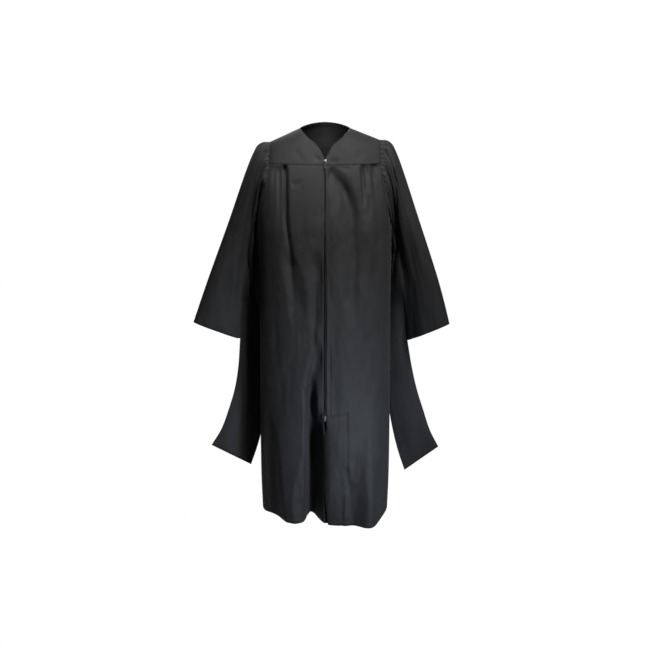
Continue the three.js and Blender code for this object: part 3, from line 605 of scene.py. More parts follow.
def new_node(tree, kind, inputs=None, **settings):
    """A node with its settings made and its inputs fed."""
    node = tree.nodes.new("ShaderNode" + kind)
    for setting, value in settings.items():
        setattr(node, setting, value)
    feed(tree, node, inputs or {})
    return node


def sum_node(tree, operation, first, second=None):
    """A Math node fed by sockets or plain numbers; gives back its output."""
    inputs = {0: first} if second is None else {0: first, 1: second}
    return new_node(tree, "Math", inputs, operation=operation).outputs[0]


print("group helpers ready")

# %% Weave group
SLUB_STRETCH = (900.0, 22.0, 1.0)

weave, given, made = node_group(
    "plain_weave",
    [("Cloth", "NodeSocketVector", None), ("Threads per Metre", "NodeSocketFloat", 2200.0),
     ("Unevenness", "NodeSocketFloat", 0.5)],
    ["Height", "Painted Shade and Slub Tone"])
cloth, count = given.outputs["Cloth"], given.outputs["Threads per Metre"]
scaled = new_node(weave, "VectorMath", {0: cloth, "Scale": count}, operation="SCALE")
split = new_node(weave, "SeparateXYZ", {0: scaled.outputs[0]})
crown = {}
for axis in ("X", "Y"):
    turn = sum_node(weave, "MULTIPLY", split.outputs[axis], math.pi)
    crown[axis] = sum_node(weave, "ABSOLUTE", sum_node(weave, "SINE", turn))
across, along = (sum_node(weave, "FLOOR", split.outputs[axis]) for axis in ("X", "Y"))
over = sum_node(weave, "PINGPONG", sum_node(weave, "ADD", across, along), 1.0)
under = sum_node(weave, "SUBTRACT", 1.0, over)
height = sum_node(weave, "ADD", sum_node(weave, "MULTIPLY", crown["X"], over),
                  sum_node(weave, "MULTIPLY", crown["Y"], under))
slub_space = new_node(weave, "VectorMath", {0: cloth, 1: SLUB_STRETCH}, operation="MULTIPLY")
slub = new_node(weave, "TexNoise", {"Vector": slub_space.outputs[0], "Scale": 1.0, "Detail": 2.0})
centred = sum_node(weave, "SUBTRACT", slub.outputs[0], 0.5)
uneven = sum_node(weave, "MULTIPLY", centred, given.outputs["Unevenness"])
# Painted shade: the colour is darker where the threads dip and lighter on their crowns; the slub adds the
# threads' own uneven tone.
raised = sum_node(weave, "MULTIPLY", height, 0.5)
painted_shade_and_slub_tone = sum_node(weave, "ADD", raised, sum_node(weave, "ADD", uneven, 0.2))
feed(weave, made, {"Height": sum_node(weave, "ADD", height, uneven), "Painted Shade and Slub Tone": painted_shade_and_slub_tone})
print("weave group:", len(weave.nodes), "nodes")

# %% Handling group: how worn and brushed a finish is from place to place
handling, given, made = node_group(
    "handling_marks",
    [("Patch Size", "NodeSocketFloat", 0.12), ("Stretch", "NodeSocketFloat", 1.0)],
    ["Patches", "Crumple"])
place = new_node(handling, "TexCoord").outputs["Object"]
direction = new_node(handling, "CombineXYZ", {"X": 1.0, "Y": 1.0, "Z": given.outputs["Stretch"]})
squeeze = new_node(handling, "VectorMath", {0: place, 1: direction.outputs[0]}, operation="MULTIPLY")
often = sum_node(handling, "DIVIDE", 1.0, given.outputs["Patch Size"])
for socket, factor, detail in (("Patches", 1.0, 4.0), ("Crumple", 7.0, 3.0)):
    scale = sum_node(handling, "MULTIPLY", often, factor)
    noise = new_node(handling, "TexNoise", {"Vector": squeeze.outputs[0], "Scale": scale, "Detail": detail})
    feed(handling, made, {socket: noise.outputs[0]})
print("handling group:", len(handling.nodes), "nodes")

# %% Rubbed edge group
rubbed, given, made = node_group("rubbed_edges", [("Amount", "NodeSocketFloat", 0.5)], ["Wear"])
edge = new_node(rubbed, "NewGeometry").outputs["Pointiness"]
place = new_node(rubbed, "TexCoord").outputs["Object"]
speck = new_node(rubbed, "TexNoise", {"Vector": place, "Scale": 900.0, "Detail": 4.0})
sharp = sum_node(rubbed, "MULTIPLY", sum_node(rubbed, "SUBTRACT", edge, 0.5), 9.0)
patchy = sum_node(rubbed, "MULTIPLY", sum_node(rubbed, "SUBTRACT", speck.outputs[0], 0.42), 1.6)
worn = sum_node(rubbed, "MULTIPLY", sum_node(rubbed, "ADD", sharp, patchy), given.outputs["Amount"])
feed(rubbed, made, {"Wear": new_node(rubbed, "Clamp", {"Value": worn}).outputs[0]})
print("rubbed edge group:", len(rubbed.nodes), "nodes")

# %% Finish helpers
CRUMPLE_RELIEF, THREAD_RELIEF, METAL_RELIEF = (0.0012, 0.16), (0.00015, 0.35), (0.0001, 0.2)
CLOTH_STRETCH, CLOTH_UNEVEN, METAL_PATCH = 0.35, 0.6, 0.006


def finish(name):
    """A new material; gives back the material, its node tree and its shader."""
    material = bpy.data.materials.new(name)
    material.use_nodes = True
    return material, material.node_tree, material.node_tree.nodes["Principled BSDF"]


def placed(tree, group, inputs):
    """A node group put into a material with its own values; gives back its outputs."""
    return new_node(tree, "Group", inputs, node_tree=group).outputs


def color_between(tree, mask, first, second):
    """A colour that goes from one to another as a mask goes from 0 to 1."""
    ends = {"A": (*first, 1), "B": (*second, 1), "Factor": mask}
    return new_node(tree, "Mix", ends, data_type="RGBA").outputs["Result"]


def value_between(tree, mask, low, high):
    return new_node(tree, "MapRange", {"Value": mask, "To Min": low, "To Max": high}).outputs["Result"]


def bump(tree, height, distance, strength, under=None):
    """Relief from a height, laid over another relief if one is given."""
    node = new_node(tree, "Bump", {"Distance": distance, "Strength": strength, "Height": height})
    if under is not None:
        feed(tree, node, {"Normal": under})
    return node.outputs["Normal"]


def woven_finish(name, dark, light, threads, patch, rough_low, rough_high):
    """Cloth: weave and handling marks in its colour, roughness and relief; the weave's colour holds painted
    shade where its threads dip.
    """
    material, tree, shader = finish(name)
    flat = new_node(tree, "UVMap", uv_map="cloth").outputs[0]
    thread = placed(tree, weave, {"Cloth": flat, "Threads per Metre": threads, "Unevenness": CLOTH_UNEVEN})
    marks = placed(tree, handling, {"Patch Size": patch, "Stretch": CLOTH_STRETCH})
    # The colour mask carries the weave's painted shade and slub tone, times the random handling patches.
    mask = sum_node(tree, "MULTIPLY", thread["Painted Shade and Slub Tone"], value_between(tree, marks["Patches"], 0.0, 2.0))
    crumple = bump(tree, marks["Crumple"], *CRUMPLE_RELIEF)
    feed(tree, shader, {
        "Base Color": color_between(tree, mask, dark, light),
        "Roughness": value_between(tree, marks["Patches"], rough_low, rough_high),
        "Normal": bump(tree, thread["Height"], *THREAD_RELIEF, crumple),
        "Sheen Weight": 0.03, "Sheen Roughness": 0.42, "Sheen Tint": (0.9, 0.94, 1.0, 1),
        "Specular IOR Level": 0.3})
    return material


def spotted_finish(name, dark, light, patch, rough_low, rough_high, gloss):
    """Thread and nylon: handling marks in the colour and the roughness."""
    material, tree, shader = finish(name)
    marks = placed(tree, handling, {"Patch Size": patch, "Stretch": 1.0})
    feed(tree, shader, {
        "Base Color": color_between(tree, marks["Patches"], dark, light),
        "Roughness": value_between(tree, marks["Crumple"], rough_low, rough_high), **gloss})
    return material


def rubbed_metal(name, coat, bare, amount, coat_rough, bare_rough, metal_low):
    """Metal whose finish is rubbed through along its edges."""
    material, tree, shader = finish(name)
    wear = placed(tree, rubbed, {"Amount": amount})["Wear"]
    marks = placed(tree, handling, {"Patch Size": METAL_PATCH, "Stretch": 1.0})
    rough = value_between(tree, wear, coat_rough, bare_rough)
    feed(tree, shader, {
        "Base Color": color_between(tree, wear, coat, bare),
        "Roughness": sum_node(tree, "MULTIPLY", rough, value_between(tree, marks["Patches"], 0.8, 1.25)),
        "Metallic": value_between(tree, wear, metal_low, 1.0),
        "Normal": bump(tree, marks["Crumple"], *METAL_RELIEF)})
    return material


print("finish helpers ready")

# %% Materials
black_cloth = woven_finish(
    "black_woven_cloth", (0.0135, 0.0138, 0.0150), (0.0300, 0.0305, 0.0330), 2400, 0.04, 0.62, 0.78)
# The zip's tape and teeth have their own black, made darker than the cloth as painted shade for the shadowed
# gap between the fronts.
black_tape_with_painted_shade = woven_finish(
    "black_zip_tape_with_painted_shade", (0.003, 0.003, 0.0034), (0.009, 0.009, 0.010), 1300, 0.05, 0.6, 0.75)
black_thread = spotted_finish(
    "black_sewing_thread", (0.010, 0.010, 0.011), (0.034, 0.034, 0.037), 0.004, 0.38, 0.6,
    {"Sheen Weight": 0.1})
# Painted shade: the teeth are darker than their own black, for the shadowed gap between the fronts.
black_nylon_with_painted_shade = spotted_finish(
    "black_nylon_teeth_with_painted_shade", (0.004, 0.004, 0.0045), (0.011, 0.011, 0.012), 0.02, 0.3, 0.5,
    {"Specular IOR Level": 0.2})
worn_enamel = rubbed_metal(
    "worn_black_enamel", (0.008, 0.008, 0.009), (0.07, 0.07, 0.068), 0.3, 0.65, 0.5, 0.0)
slider_metal = rubbed_metal(
    "rubbed_slider_metal", (0.16, 0.16, 0.16), (0.62, 0.61, 0.59), 0.5, 0.42, 0.3, 1.0)
bright_metal = rubbed_metal(
    "bright_stop_metal", (0.45, 0.45, 0.45), (0.8, 0.79, 0.77), 0.6, 0.36, 0.25, 1.0)
for material in (black_cloth, black_tape_with_painted_shade, black_thread, black_nylon_with_painted_shade, worn_enamel, slider_metal, bright_metal):
    print(material.name, len(material.node_tree.nodes), "nodes")

# %% [markdown]
# ## Yokes
# The yoke is the smooth shoulder piece that carries everything else. Its lower edge is turned
# under and laid over the tucked fronts, so it stands a little proud of them and throws a fine
# shadow along the seam. The neckline is a soft V whose edge is turned under as well.

# %% Front yokes
YOKE_PROUD, YOKE_LAP, YOKE_TURN, NECK_FACING = 0.2, 0.8, 9, 22
YOKE_STEPS, YOKE_CROWDING = 44, 1.6
PROUD_FROM, PROUD_TO = 16, 4  # above the seam
ROUND_ROWS, STRAIGHT_ROWS = 0.8, 0.2  # shares of a front yoke's rows along the neckline
BODY_OUT = np.array([1.0, 1.0, 0.0])
neckline_at = curves(
    "along x drop",
    (0, 78, 0), (0.2, 66, 12), (0.4, 51, 26.5), (0.6, 31, 40), (0.75, 19, 53), (0.88, 11, 68),
    (1, ZIP_HALF, 86),
)
YOKE_CREASES = [  # the cloth is pulled a little towards the closed zip
    crease([(-11, 92), (-24, 86), (-42, 75)], 3.0, 4.5, 4.5, 0.8, 0.25, 0.5),
    crease([(13, 96), (28, 92), (48, 85)], 3.2, 4.5, 4.5, 0.8, 0.25, 0.5),
    crease([(-96, 60), (-84, 74), (-80, 92)], 1.4, 8, 8, 0.8),
    crease([(118, 64), (106, 78), (100, 96)], 1.2, 8, 8, 0.8),
]
neck_x_at, neck_drop_at = neckline_at["x"], neckline_at["drop"]


def yoke_proud(drop, seam):
    """Near its seam a yoke stands a little proud of what hangs from it."""
    return YOKE_PROUD * smoothstep(drop, seam - PROUD_FROM, seam - PROUD_TO)


def hemmed(points, depth, groove=0.0):
    """A body grid with a stitched groove, its normals, and its lower edge turned under."""
    normals = grid_normals(points, points * BODY_OUT)
    points = points - normals * groove
    return points, normals, turned_edge(points[::-1], normals[::-1], depth)


def side_facing(points, normals, width):
    """The first column of a grid turned under."""
    return turned_edge(points.transpose(1, 0, 2), normals.transpose(1, 0, 2), width)


def front_yoke(side):
    column, row = np.meshgrid(spread(YOKE_STEPS), spread(YOKE_STEPS, YOKE_CROWDING))
    round_part = np.minimum(row / ROUND_ROWS, 1.0)
    down = np.maximum((row - ROUND_ROWS) / STRAIGHT_ROWS, 0.0)
    seam = FRONT_YOKE_DROP + YOKE_LAP
    outer_drop = mix(float(shoulder_tip(side)), seam, row)
    x = side * mix(neck_x_at(round_part), side_edge(outer_drop, side), column)
    drop = mix(mix(neck_drop_at(round_part), seam, down), outer_drop, column)
    wave = 0.8 * soft_unevenness(21, x, drop, 22, 26) * np.sin(np.pi * column) * np.sin(np.pi * row)
    wave = wave + crease_push(YOKE_CREASES, x, drop)
    depth = wave - front_depth(x, drop) - yoke_proud(drop, FRONT_YOKE_DROP)
    points, normals, hem = hemmed(np.stack([x, depth, -drop], -1), YOKE_TURN)
    grids = [points, hem, side_facing(points, normals, NECK_FACING)]
    piece = cloth_piece(f"front_yoke_{SIDE_WORD[side]}", grids, black_cloth)
    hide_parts(f"yoke_front_{SIDE_WORD[side]}")
    return piece


front_yokes = {side: front_yoke(side) for side in SIDE_WORD}
print("front yokes:", [len(p.data.polygons) for p in front_yokes.values()], "faces")

# %% Back yoke
BACK_YOKE_COLUMNS, NECK_COLUMNS, BACK_NECK_TURN = 111, slice(28, 83), 12
NECK_LEAN = 0.5  # share of the half width that the neckline takes


def back_yoke():
    column, row = np.meshgrid(np.linspace(1, -1, BACK_YOKE_COLUMNS), spread(YOKE_STEPS, YOKE_CROWDING))
    lean = np.abs(column)
    neck_x = NECK_HALF * np.minimum(lean / NECK_LEAN, 1.0)
    on_shoulder = mix(NECK_HALF, SHOULDER_HALF, (lean - NECK_LEAN) / (1 - NECK_LEAN))
    top_x = np.where(lean < NECK_LEAN, neck_x, on_shoulder)
    neck_top = -NECK_BACK_RISE * (1 - (neck_x / NECK_HALF) ** 2)
    top_drop = np.where(lean < NECK_LEAN, neck_top, shoulder_line(np.sign(column) * top_x))
    seam = BACK_YOKE_DROP + YOKE_LAP
    drop = mix(top_drop, seam, row)
    widen = side_edge(mix(shoulder_tip(column), seam, row), column) / SHOULDER_HALF
    x = np.sign(column) * top_x * widen
    wave = 0.6 * soft_unevenness(23, x, drop, 34, 30) * np.sin(np.pi * row)
    depth = back_depth(x, drop) + yoke_proud(drop, BACK_YOKE_DROP) + wave
    points, normals, hem = hemmed(np.stack([x, depth, -drop], -1), YOKE_TURN)
    neck = turned_edge(points[:, NECK_COLUMNS], normals[:, NECK_COLUMNS], BACK_NECK_TURN)
    piece = cloth_piece("back_yoke", [points, hem, neck], black_cloth)
    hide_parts("yoke_back")
    return piece


yoke_of_back = back_yoke()
print("back yoke:", len(yoke_of_back.data.polygons), "faces")

# %% [markdown]
# ## Fronts and back
# Two fronts hang from the yoke on either side of the zip. Their tops slip under the yoke, the
# edges beside the zip and the opening are turned back as facings, and the hem is turned up.
# Columns are closer together at the sides, where the body curves away, and near the zip.

# %% Fronts
HEM_DEPTH, UNDERLAP, UNDERLAP_BEHIND, ZIP_SHOWS, ZIP_FACING = 20, 24, 20, 5.2, 14
FRONT_TOP, BACK_TOP, ROW_CROWDING = 99, 128, 1.15
HEM_ROWS, ABOVE_HEM = np.linspace(1268, 1283, 7), slice(0, -12)
GROOVE_DEEP, GROOVE_HALF = 0.6, 1.6
ZIP_SHOWS_OVER, LAP_GROWS_OVER = (260, 460), (940, 1040)
OPENS_OVER = (ZIP_END_DROP + 60, ZIP_END_DROP + 120)
BEHIND_ACROSS, BEHIND_DOWN = (-34, -8), (925, 1010)
FRONT_COLUMNS = np.unique(np.r_[np.sin(spread(124) * np.pi / 2), np.linspace(0.0, 0.12, 14)])


def body_rows(top, count):
    """Drops from the top of a body piece to its hem, close together at the hem's stitches."""
    return np.unique(np.r_[top + (GOWN_LENGTH - top) * spread(count, ROW_CROWDING), HEM_ROWS])


def front_inner(drop, side):
    """Where the edge beside the zip, and then the opening, runs."""
    opened = smoothstep(drop, *OPENS_OVER)
    apart = mix(ZIP_HALF, ZIP_SHOWS, smoothstep(drop, *ZIP_SHOWS_OVER))
    edge = slit_at(drop) + side * mix(apart, SLIT_GAP, opened)
    return edge + (UNDERLAP * smoothstep(drop, *LAP_GROWS_OVER) if side < 0 else 0.0)


def hem_groove(drop):
    """The slight waist that the row of stitches pulls into a hem."""
    return GROOVE_DEEP * np.exp(-0.5 * ((drop - (GOWN_LENGTH - HEM_DEPTH)) / GROOVE_HALF) ** 2)[..., None]


def front(side):
    share, drop = np.meshgrid(FRONT_COLUMNS, body_rows(FRONT_TOP, 210))
    x = mix(front_inner(drop, side), side * side_edge(drop, side), share)
    points = front_surface(x, drop)
    if side < 0:
        lap = smoothstep(x - slit_at(drop), *BEHIND_ACROSS) * smoothstep(drop, *BEHIND_DOWN)
        behind = UNDERLAP_BEHIND * lap
        points[..., 1] = np.maximum(points[..., 1], behind - front_depth(x, drop))
    points, normals, hem = hemmed(points, HEM_DEPTH, hem_groove(drop))
    facing = side_facing(points[ABOVE_HEM], normals[ABOVE_HEM], ZIP_FACING)
    piece = cloth_piece(f"cloth_front_{SIDE_WORD[side]}", [points, hem, facing], black_cloth)
    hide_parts(f"front_{SIDE_WORD[side]}")
    return piece


fronts = {side: front(side) for side in SIDE_WORD}
print("fronts:", [len(p.data.polygons) for p in fronts.values()], "faces")

# %% Back
lean, drop = np.meshgrid(-np.sin(np.linspace(-1, 1, 191) * np.pi / 2), body_rows(BACK_TOP, 180))
points, normals, hem = hemmed(back_surface(side_edge(drop, lean) * lean, drop), HEM_DEPTH, hem_groove(drop))
back_piece = cloth_piece("cloth_back", [points, hem], black_cloth)
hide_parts("back")
print("back:", len(back_piece.data.polygons), "faces")

# %% [markdown]
# ## Sleeves
# Each sleeve is two layers, front and back, sewn along the top of the arm and under it. The cap
# is gathered into the armhole, the wrist opening takes part of the lower edge, and the rest
# runs on as a flat closed tail with a curved outer edge. The tables give the outer and inner
# edge as the arm would hold them; the two hands hang a little differently.

# %% Sleeve tables
sleeve_at = curves(
    "along outer_x outer_y outer_drop inner_x inner_y inner_drop half turn",
    (0, 173, 0, 43, 214, 0, 310, 62, 0), (0.05, 197, 0, 46, 219, 9, 322, 64, 2),
    (0.1, 216, -1, 62, 219, 22, 342, 64, 4), (0.2, 247, -4, 132, 218, 40, 384, 60, 8),
    (0.4, 303, -9, 292, 217, 58, 476, 53, 15), (0.7, 370, -16, 478, 212, 80, 612, 46, 23),
    (1, 421, -22, 628, 203, 97, 752, 37, 29),
)
tail_at = curves(
    "along outer_x outer_y outer_drop inner_x inner_y inner_drop",
    (0, 282, 53, 706, 203, 97, 752), (0.2, 294, 56, 797, 205, 94, 845),
    (0.4, 311, 59, 884, 210, 90, 935), (0.6, 335, 61, 963, 223, 86, 1022),
    (0.8, 363, 63, 1040, 243, 80, 1105), (1, 398, 64, 1102, 271, 74, 1186),
)
HANG = {
    -1: dict(cap_up=0, cuff_out=11, bow=1, cuff_down=1, tail=-4, end_out=-9, end_down=-6),
    1: dict(cap_up=6, cuff_out=-12, bow=3, cuff_down=7, tail=8, end_out=11, end_down=10),
}
SLEEVE_FOLDS = {  # under the layer and the side: share across at the top and end, start, stop, depth, width
    (-1, -1): [(0.36, 0.72, 0.06, 1.3, 22, 0.085), (0.66, 0.8, 0.12, 0.6, 6, 0.07)],
    (-1, 1): [(0.52, 0.66, 0.04, 0.6, 10, 0.065), (0.44, 0.56, 0.4, 1.3, 6, 0.12)],
    (1, -1): [(0.36, 0.5, 0.1, 1.3, 12, 0.1)],
    (1, 1): [(0.4, 0.54, 0.1, 1.3, 12, 0.1)],
}
CUFF_SHARE, TAIL_PUFF, TAIL_TURN, LAYER_HALF = 0.63, 8, 6, 1.3
SEWN_HALF, BESIDE_BODY = 0.55, 0.75
SLEEVE_WIDE, SLEEVE_LONG, TAIL_WIDE, TAIL_LONG = 250, 620, 115, 430
print("a sleeve is about", SLEEVE_LONG, "mm long, its tail", TAIL_LONG, "mm")

# %% Sleeve creases
def sleeve_creases(*rows):
    """Creases whose marks are shares across and along a sleeve."""
    return [crease([(share * SLEEVE_WIDE, along * SLEEVE_LONG) for share, along in marks], *rest)
            for marks, *rest in rows]


SLEEVE_CREASES = {  # under the layer and the side
    (-1, -1): sleeve_creases(
        ([(0.4, 0.03), (0.5, 0.1), (0.66, 0.2), (0.78, 0.36), (0.82, 0.62), (0.84, 0.98)],
         24, 10, 16, 0, 0.08, 0),
        ([(0.64, 0.2), (0.55, 0.35), (0.56, 0.42), (0.64, 0.49), (0.72, 0.58), (0.8, 0.74)],
         15, 7, 9, 0, 0.12, 0.3),
        ([(0.05, 0.012), (0.14, 0.05), (0.24, 0.13), (0.3, 0.24)], 8, 5, 4, 1.5, 0.15, 0.6),
        ([(0.2, 0.015), (0.3, 0.06), (0.42, 0.16), (0.52, 0.33)], 9, 6, 5, 1.5, 0.15, 0.6),
        ([(0.42, 0.02), (0.55, 0.08), (0.66, 0.2), (0.74, 0.4)], 8, 6, 5, 0, 0.15, 0.6),
        ([(0.14, 0.03), (0.34, 0.1), (0.4, 0.2), (0.46, 0.36)], 6, 7, 8, 1.5),
        ([(0.24, 0.006), (0.42, 0.022), (0.62, 0.04), (0.8, 0.06)], 3.5, 5, 5),
        ([(0.9, 0.2), (0.82, 0.42), (0.84, 0.7)], 4, 7, 7),
        ([(0.2, 0.55), (0.3, 0.75), (0.34, 0.97)], 3, 12, 14)),
    (-1, 1): sleeve_creases(
        ([(0.72, 0.02), (0.84, 0.1), (0.88, 0.24), (0.84, 0.42)], 16, 10, 8, 0, 0.1, 0.5),
        ([(0.72, 0.2), (0.65, 0.28), (0.64, 0.34), (0.72, 0.38), (0.82, 0.43), (0.87, 0.55)],
         14, 13, 8, 0, 0.15, 0.3),
        ([(0.06, 0.012), (0.15, 0.06), (0.22, 0.15), (0.26, 0.26)], 8, 5, 4, 1.5, 0.15, 0.6),
        ([(0.24, 0.015), (0.34, 0.07), (0.44, 0.17), (0.5, 0.34)], 8, 5, 6, 1.5, 0.15, 0.6),
        ([(0.5, 0.03), (0.62, 0.1), (0.7, 0.22), (0.74, 0.36)], 7, 5, 6, 0, 0.15, 0.6),
        ([(0.1, 0.05), (0.15, 0.11), (0.36, 0.19), (0.5, 0.3)], 5, 6, 7, 1.2),
        ([(0.97, 0.16), (0.8, 0.3), (0.62, 0.45)], 4.5, 5, 8, 1.2),
        ([(0.3, 0.008), (0.5, 0.025), (0.74, 0.05)], 3.5, 5, 5),
        ([(0.34, 0.55), (0.42, 0.78), (0.45, 0.99)], 3.5, 12, 12, 0, 0.3, 0)),
    (1, -1): sleeve_creases(
        ([(0.15, 0.03), (0.34, 0.12), (0.42, 0.3)], 5, 7, 8, 1.2),
        ([(0.95, 0.16), (0.78, 0.32), (0.62, 0.5)], 4, 6, 8),
        ([(0.25, 0.5), (0.36, 0.75), (0.4, 0.98)], 3.5, 12, 12)),
    (1, 1): sleeve_creases(
        ([(0.12, 0.04), (0.3, 0.13), (0.4, 0.28)], 5, 8, 7, 1.2),
        ([(0.95, 0.18), (0.8, 0.36), (0.66, 0.55)], 4, 8, 6),
        ([(0.3, 0.5), (0.38, 0.75), (0.43, 0.98)], 3.5, 12, 12)),
}
print(sum(len(rows) for rows in SLEEVE_CREASES.values()), "creases in the sleeves")

# %% Sleeve surface
GATHER_DEEP, GATHER_HALF_TURNS, GATHER_END, GATHER_LIFT = 4.5, 7, 0.55, 0.35
LEAST_FULL, CALM_EDGE = 0.12, 0.12
PUCKER_DEEP, PUCKER_LONG, PUCKER_PITCH, PUCKER_STRAY = 1.7, 22.0, 12.0, 4.5


def facing_of(turn):
    """Direction from the front layer of a sleeve to its back layer."""
    angle = np.radians(turn)
    return np.stack([np.sin(angle), np.cos(angle), np.zeros_like(angle)], -1)


def arch(share):
    """A half round from 0 through 1 to 0."""
    return np.sqrt(4 * share * (1 - share))


def sleeve_fullness(share, along):
    """How far each layer stands from the sleeve's middle: round above, pinched at the cuff's end."""
    half = sleeve_at["half"](along)
    in_cuff = np.minimum(share / CUFF_SHARE, 1.0)
    in_tail = np.maximum((share - CUFF_SHARE) / (1 - CUFF_SHARE), 0.0)
    pinched = arch(in_cuff) + TAIL_PUFF / half * np.sin(np.pi * in_tail)
    return half * mix(arch(share), pinched, smoothstep(along, 0.55, 1))


def sleeve_fold_push(side, layer, share, along):
    total = np.zeros(share.shape)
    for top, end, start, stop, depth, width in SLEEVE_FOLDS[layer, side]:
        centre = mix(top, end, np.clip((along - start) / (1 - start), 0, 1))
        profile = np.exp(-0.5 * ((share - centre) / width) ** 2)
        ends = smoothstep(along, start, start + 0.2) * smoothstep(stop - along, 0, 0.25)
        total += depth * profile * ends
    return total


def sleeve_edges(side, along):
    """The sleeve's outer and inner edge, as the arm holds them."""
    hang = HANG[side]
    at = lambda key: sleeve_at[key](along)
    down = hang["cuff_down"] * along**3
    up = hang["cap_up"] * (1 - smoothstep(along, 0, 0.25)) - down
    outer_x = at("outer_x") + hang["cuff_out"] * along ** hang["bow"]
    outer = np.stack([outer_x, at("outer_y"), up - at("outer_drop")], -1)
    close = 5 * smoothstep(along, 0, 0.04) * (1 - smoothstep(along, 0.3, 0.6))
    inner = np.stack([at("inner_x") - close, at("inner_y"), -down - at("inner_drop")], -1)
    return outer, inner


def armhole_line(side, layer, share):
    """The armhole's edge, which the sleeve's first row is sewn to."""
    drop = mix(float(shoulder_tip(side)), UNDERARM_DROP, share)
    x = side_edge(drop, side)
    y = -front_depth(side * x, drop) if layer < 0 else back_depth(side * x, drop)
    return np.stack([x + 0.2 + 0.3 * share**2, y, -drop], -1)


def cap_pucker(side, share, a, b):
    """Small uneven puckers where the cap is gathered into the armhole."""
    deep = PUCKER_DEEP * np.exp(-b / PUCKER_LONG) * smoothstep(b, 0, 3) * (1 - smoothstep(share, 0.5, 0.75))
    stray = PUCKER_STRAY * soft_unevenness(51 + side, a, b, 26, 300)
    return deep * np.cos(2 * np.pi * a / PUCKER_PITCH + stray)


def sleeve_form(side, layer, share, along, creased=True):
    """Points of a sleeve layer above the cuff, on the +X side."""
    outer, inner = sleeve_edges(side, along)
    gather = GATHER_DEEP * smoothstep(along, 0, 0.06) * (1 - smoothstep(along, 0.1, 0.34))
    gather = gather * (1 - smoothstep(share, 0.33, GATHER_END))
    gather = gather * np.cos(GATHER_HALF_TURNS * np.pi * layer * np.sqrt(share / GATHER_END))
    folded = sleeve_fold_push(side, layer, share, along)
    beside = 1 - (BESIDE_BODY * share**2 * (1 - smoothstep(along, 0.7, 1)) if layer < 0 else 0.0)
    full_round = sleeve_fullness(share, along) * beside
    if creased:
        a, b, seed = share * SLEEVE_WIDE, along * SLEEVE_LONG, layer + 5 * side
        calm = smoothstep(share, 0.0, CALM_EDGE) * smoothstep(1 - share, 0.0, CALM_EDGE)
        calm = calm * smoothstep(along, 0.02, 0.14)
        folded = folded + crease_push(SLEEVE_CREASES[layer, side], a, b) * arch(share)
        folded = folded + waves([(2.8, 31 + seed, 0, 36, 230), (1.0, 41 + seed, 0, 16, 80)], a, b) * calm
        folded = folded + cap_pucker(side, share, a, b)
    full = np.maximum(full_round - folded, LEAST_FULL * full_round) + SEWN_HALF * smoothstep(share, 0.5, 1)
    facing = facing_of(sleeve_at["turn"](along))
    stand = (layer * (full + gather * share))[..., None]
    points = outer + (inner - outer) * share[..., None] + facing * stand
    return points + unit(outer - inner) * (GATHER_LIFT * gather * (1 - share))[..., None]


print("sleeve outer edge at the cuff", sleeve_edges(1, np.array([1.0]))[0].round(0))

# %% Tail surface
def tail_form(side, layer, share, along):
    """Points of a sleeve layer in the closed tail below the cuff."""
    hang = HANG[side]
    at = lambda key: tail_at[key](along)
    middle = hang["tail"] * np.sin(np.pi * along)
    outer_x = at("outer_x") + middle + hang["cuff_out"] * (1 - CUFF_SHARE) * (1 - along)
    outer = np.stack([outer_x, at("outer_y"), -at("outer_drop") - hang["cuff_down"]], -1)
    inner_x = at("inner_x") + middle + hang["end_out"] * along**2
    lower = hang["cuff_down"] + hang["end_down"] * along
    inner = np.stack([inner_x, at("inner_y"), -at("inner_drop") - lower], -1)
    puff = TAIL_PUFF * np.sin(np.pi * share) * (1 - smoothstep(along, 0.55, 1))
    to_border = np.minimum(np.minimum(share, 1 - share) * TAIL_WIDE, (1 - along) * TAIL_LONG)
    wave = 1.2 * soft_unevenness(61 + layer + 5 * side, share * TAIL_WIDE, along * TAIL_LONG, 36, 110)
    half_gap = mix(SEWN_HALF, LAYER_HALF + puff + 1.2 + wave, smoothstep(to_border, 0, 14))
    facing = facing_of(mix(float(sleeve_at["turn"](1.0)), TAIL_TURN, along))
    return outer + (inner - outer) * share[..., None] + facing * (layer * half_gap)[..., None]


print("tip of the left tail", tail_form(1, -1, np.ones(1), np.ones(1)).round(0))

# %% Sleeve layers
CUFF_ANGLE = math.acos(1 - 2 * CUFF_SHARE)
CUFF_COLUMNS, CUFF_HEM = 81, 18
SLEEVE_ANGLES = np.r_[np.linspace(0, CUFF_ANGLE, CUFF_COLUMNS), np.linspace(CUFF_ANGLE, math.pi, 33)[1:]]
SLEEVE_ROWS = np.unique(np.r_[spread(112, 1.35), np.linspace(0.965, 0.985, 5)])
TAIL_ROWS = spread(76)
TO_FRONT, TO_BACK = np.array([0.0, -1.0, 0.0]), np.array([0.0, 1.0, 0.0])


def on_side(side):
    """Sleeves are worked out on the +X side; this takes them to their own."""
    return np.array([side, 1.0, 1.0])


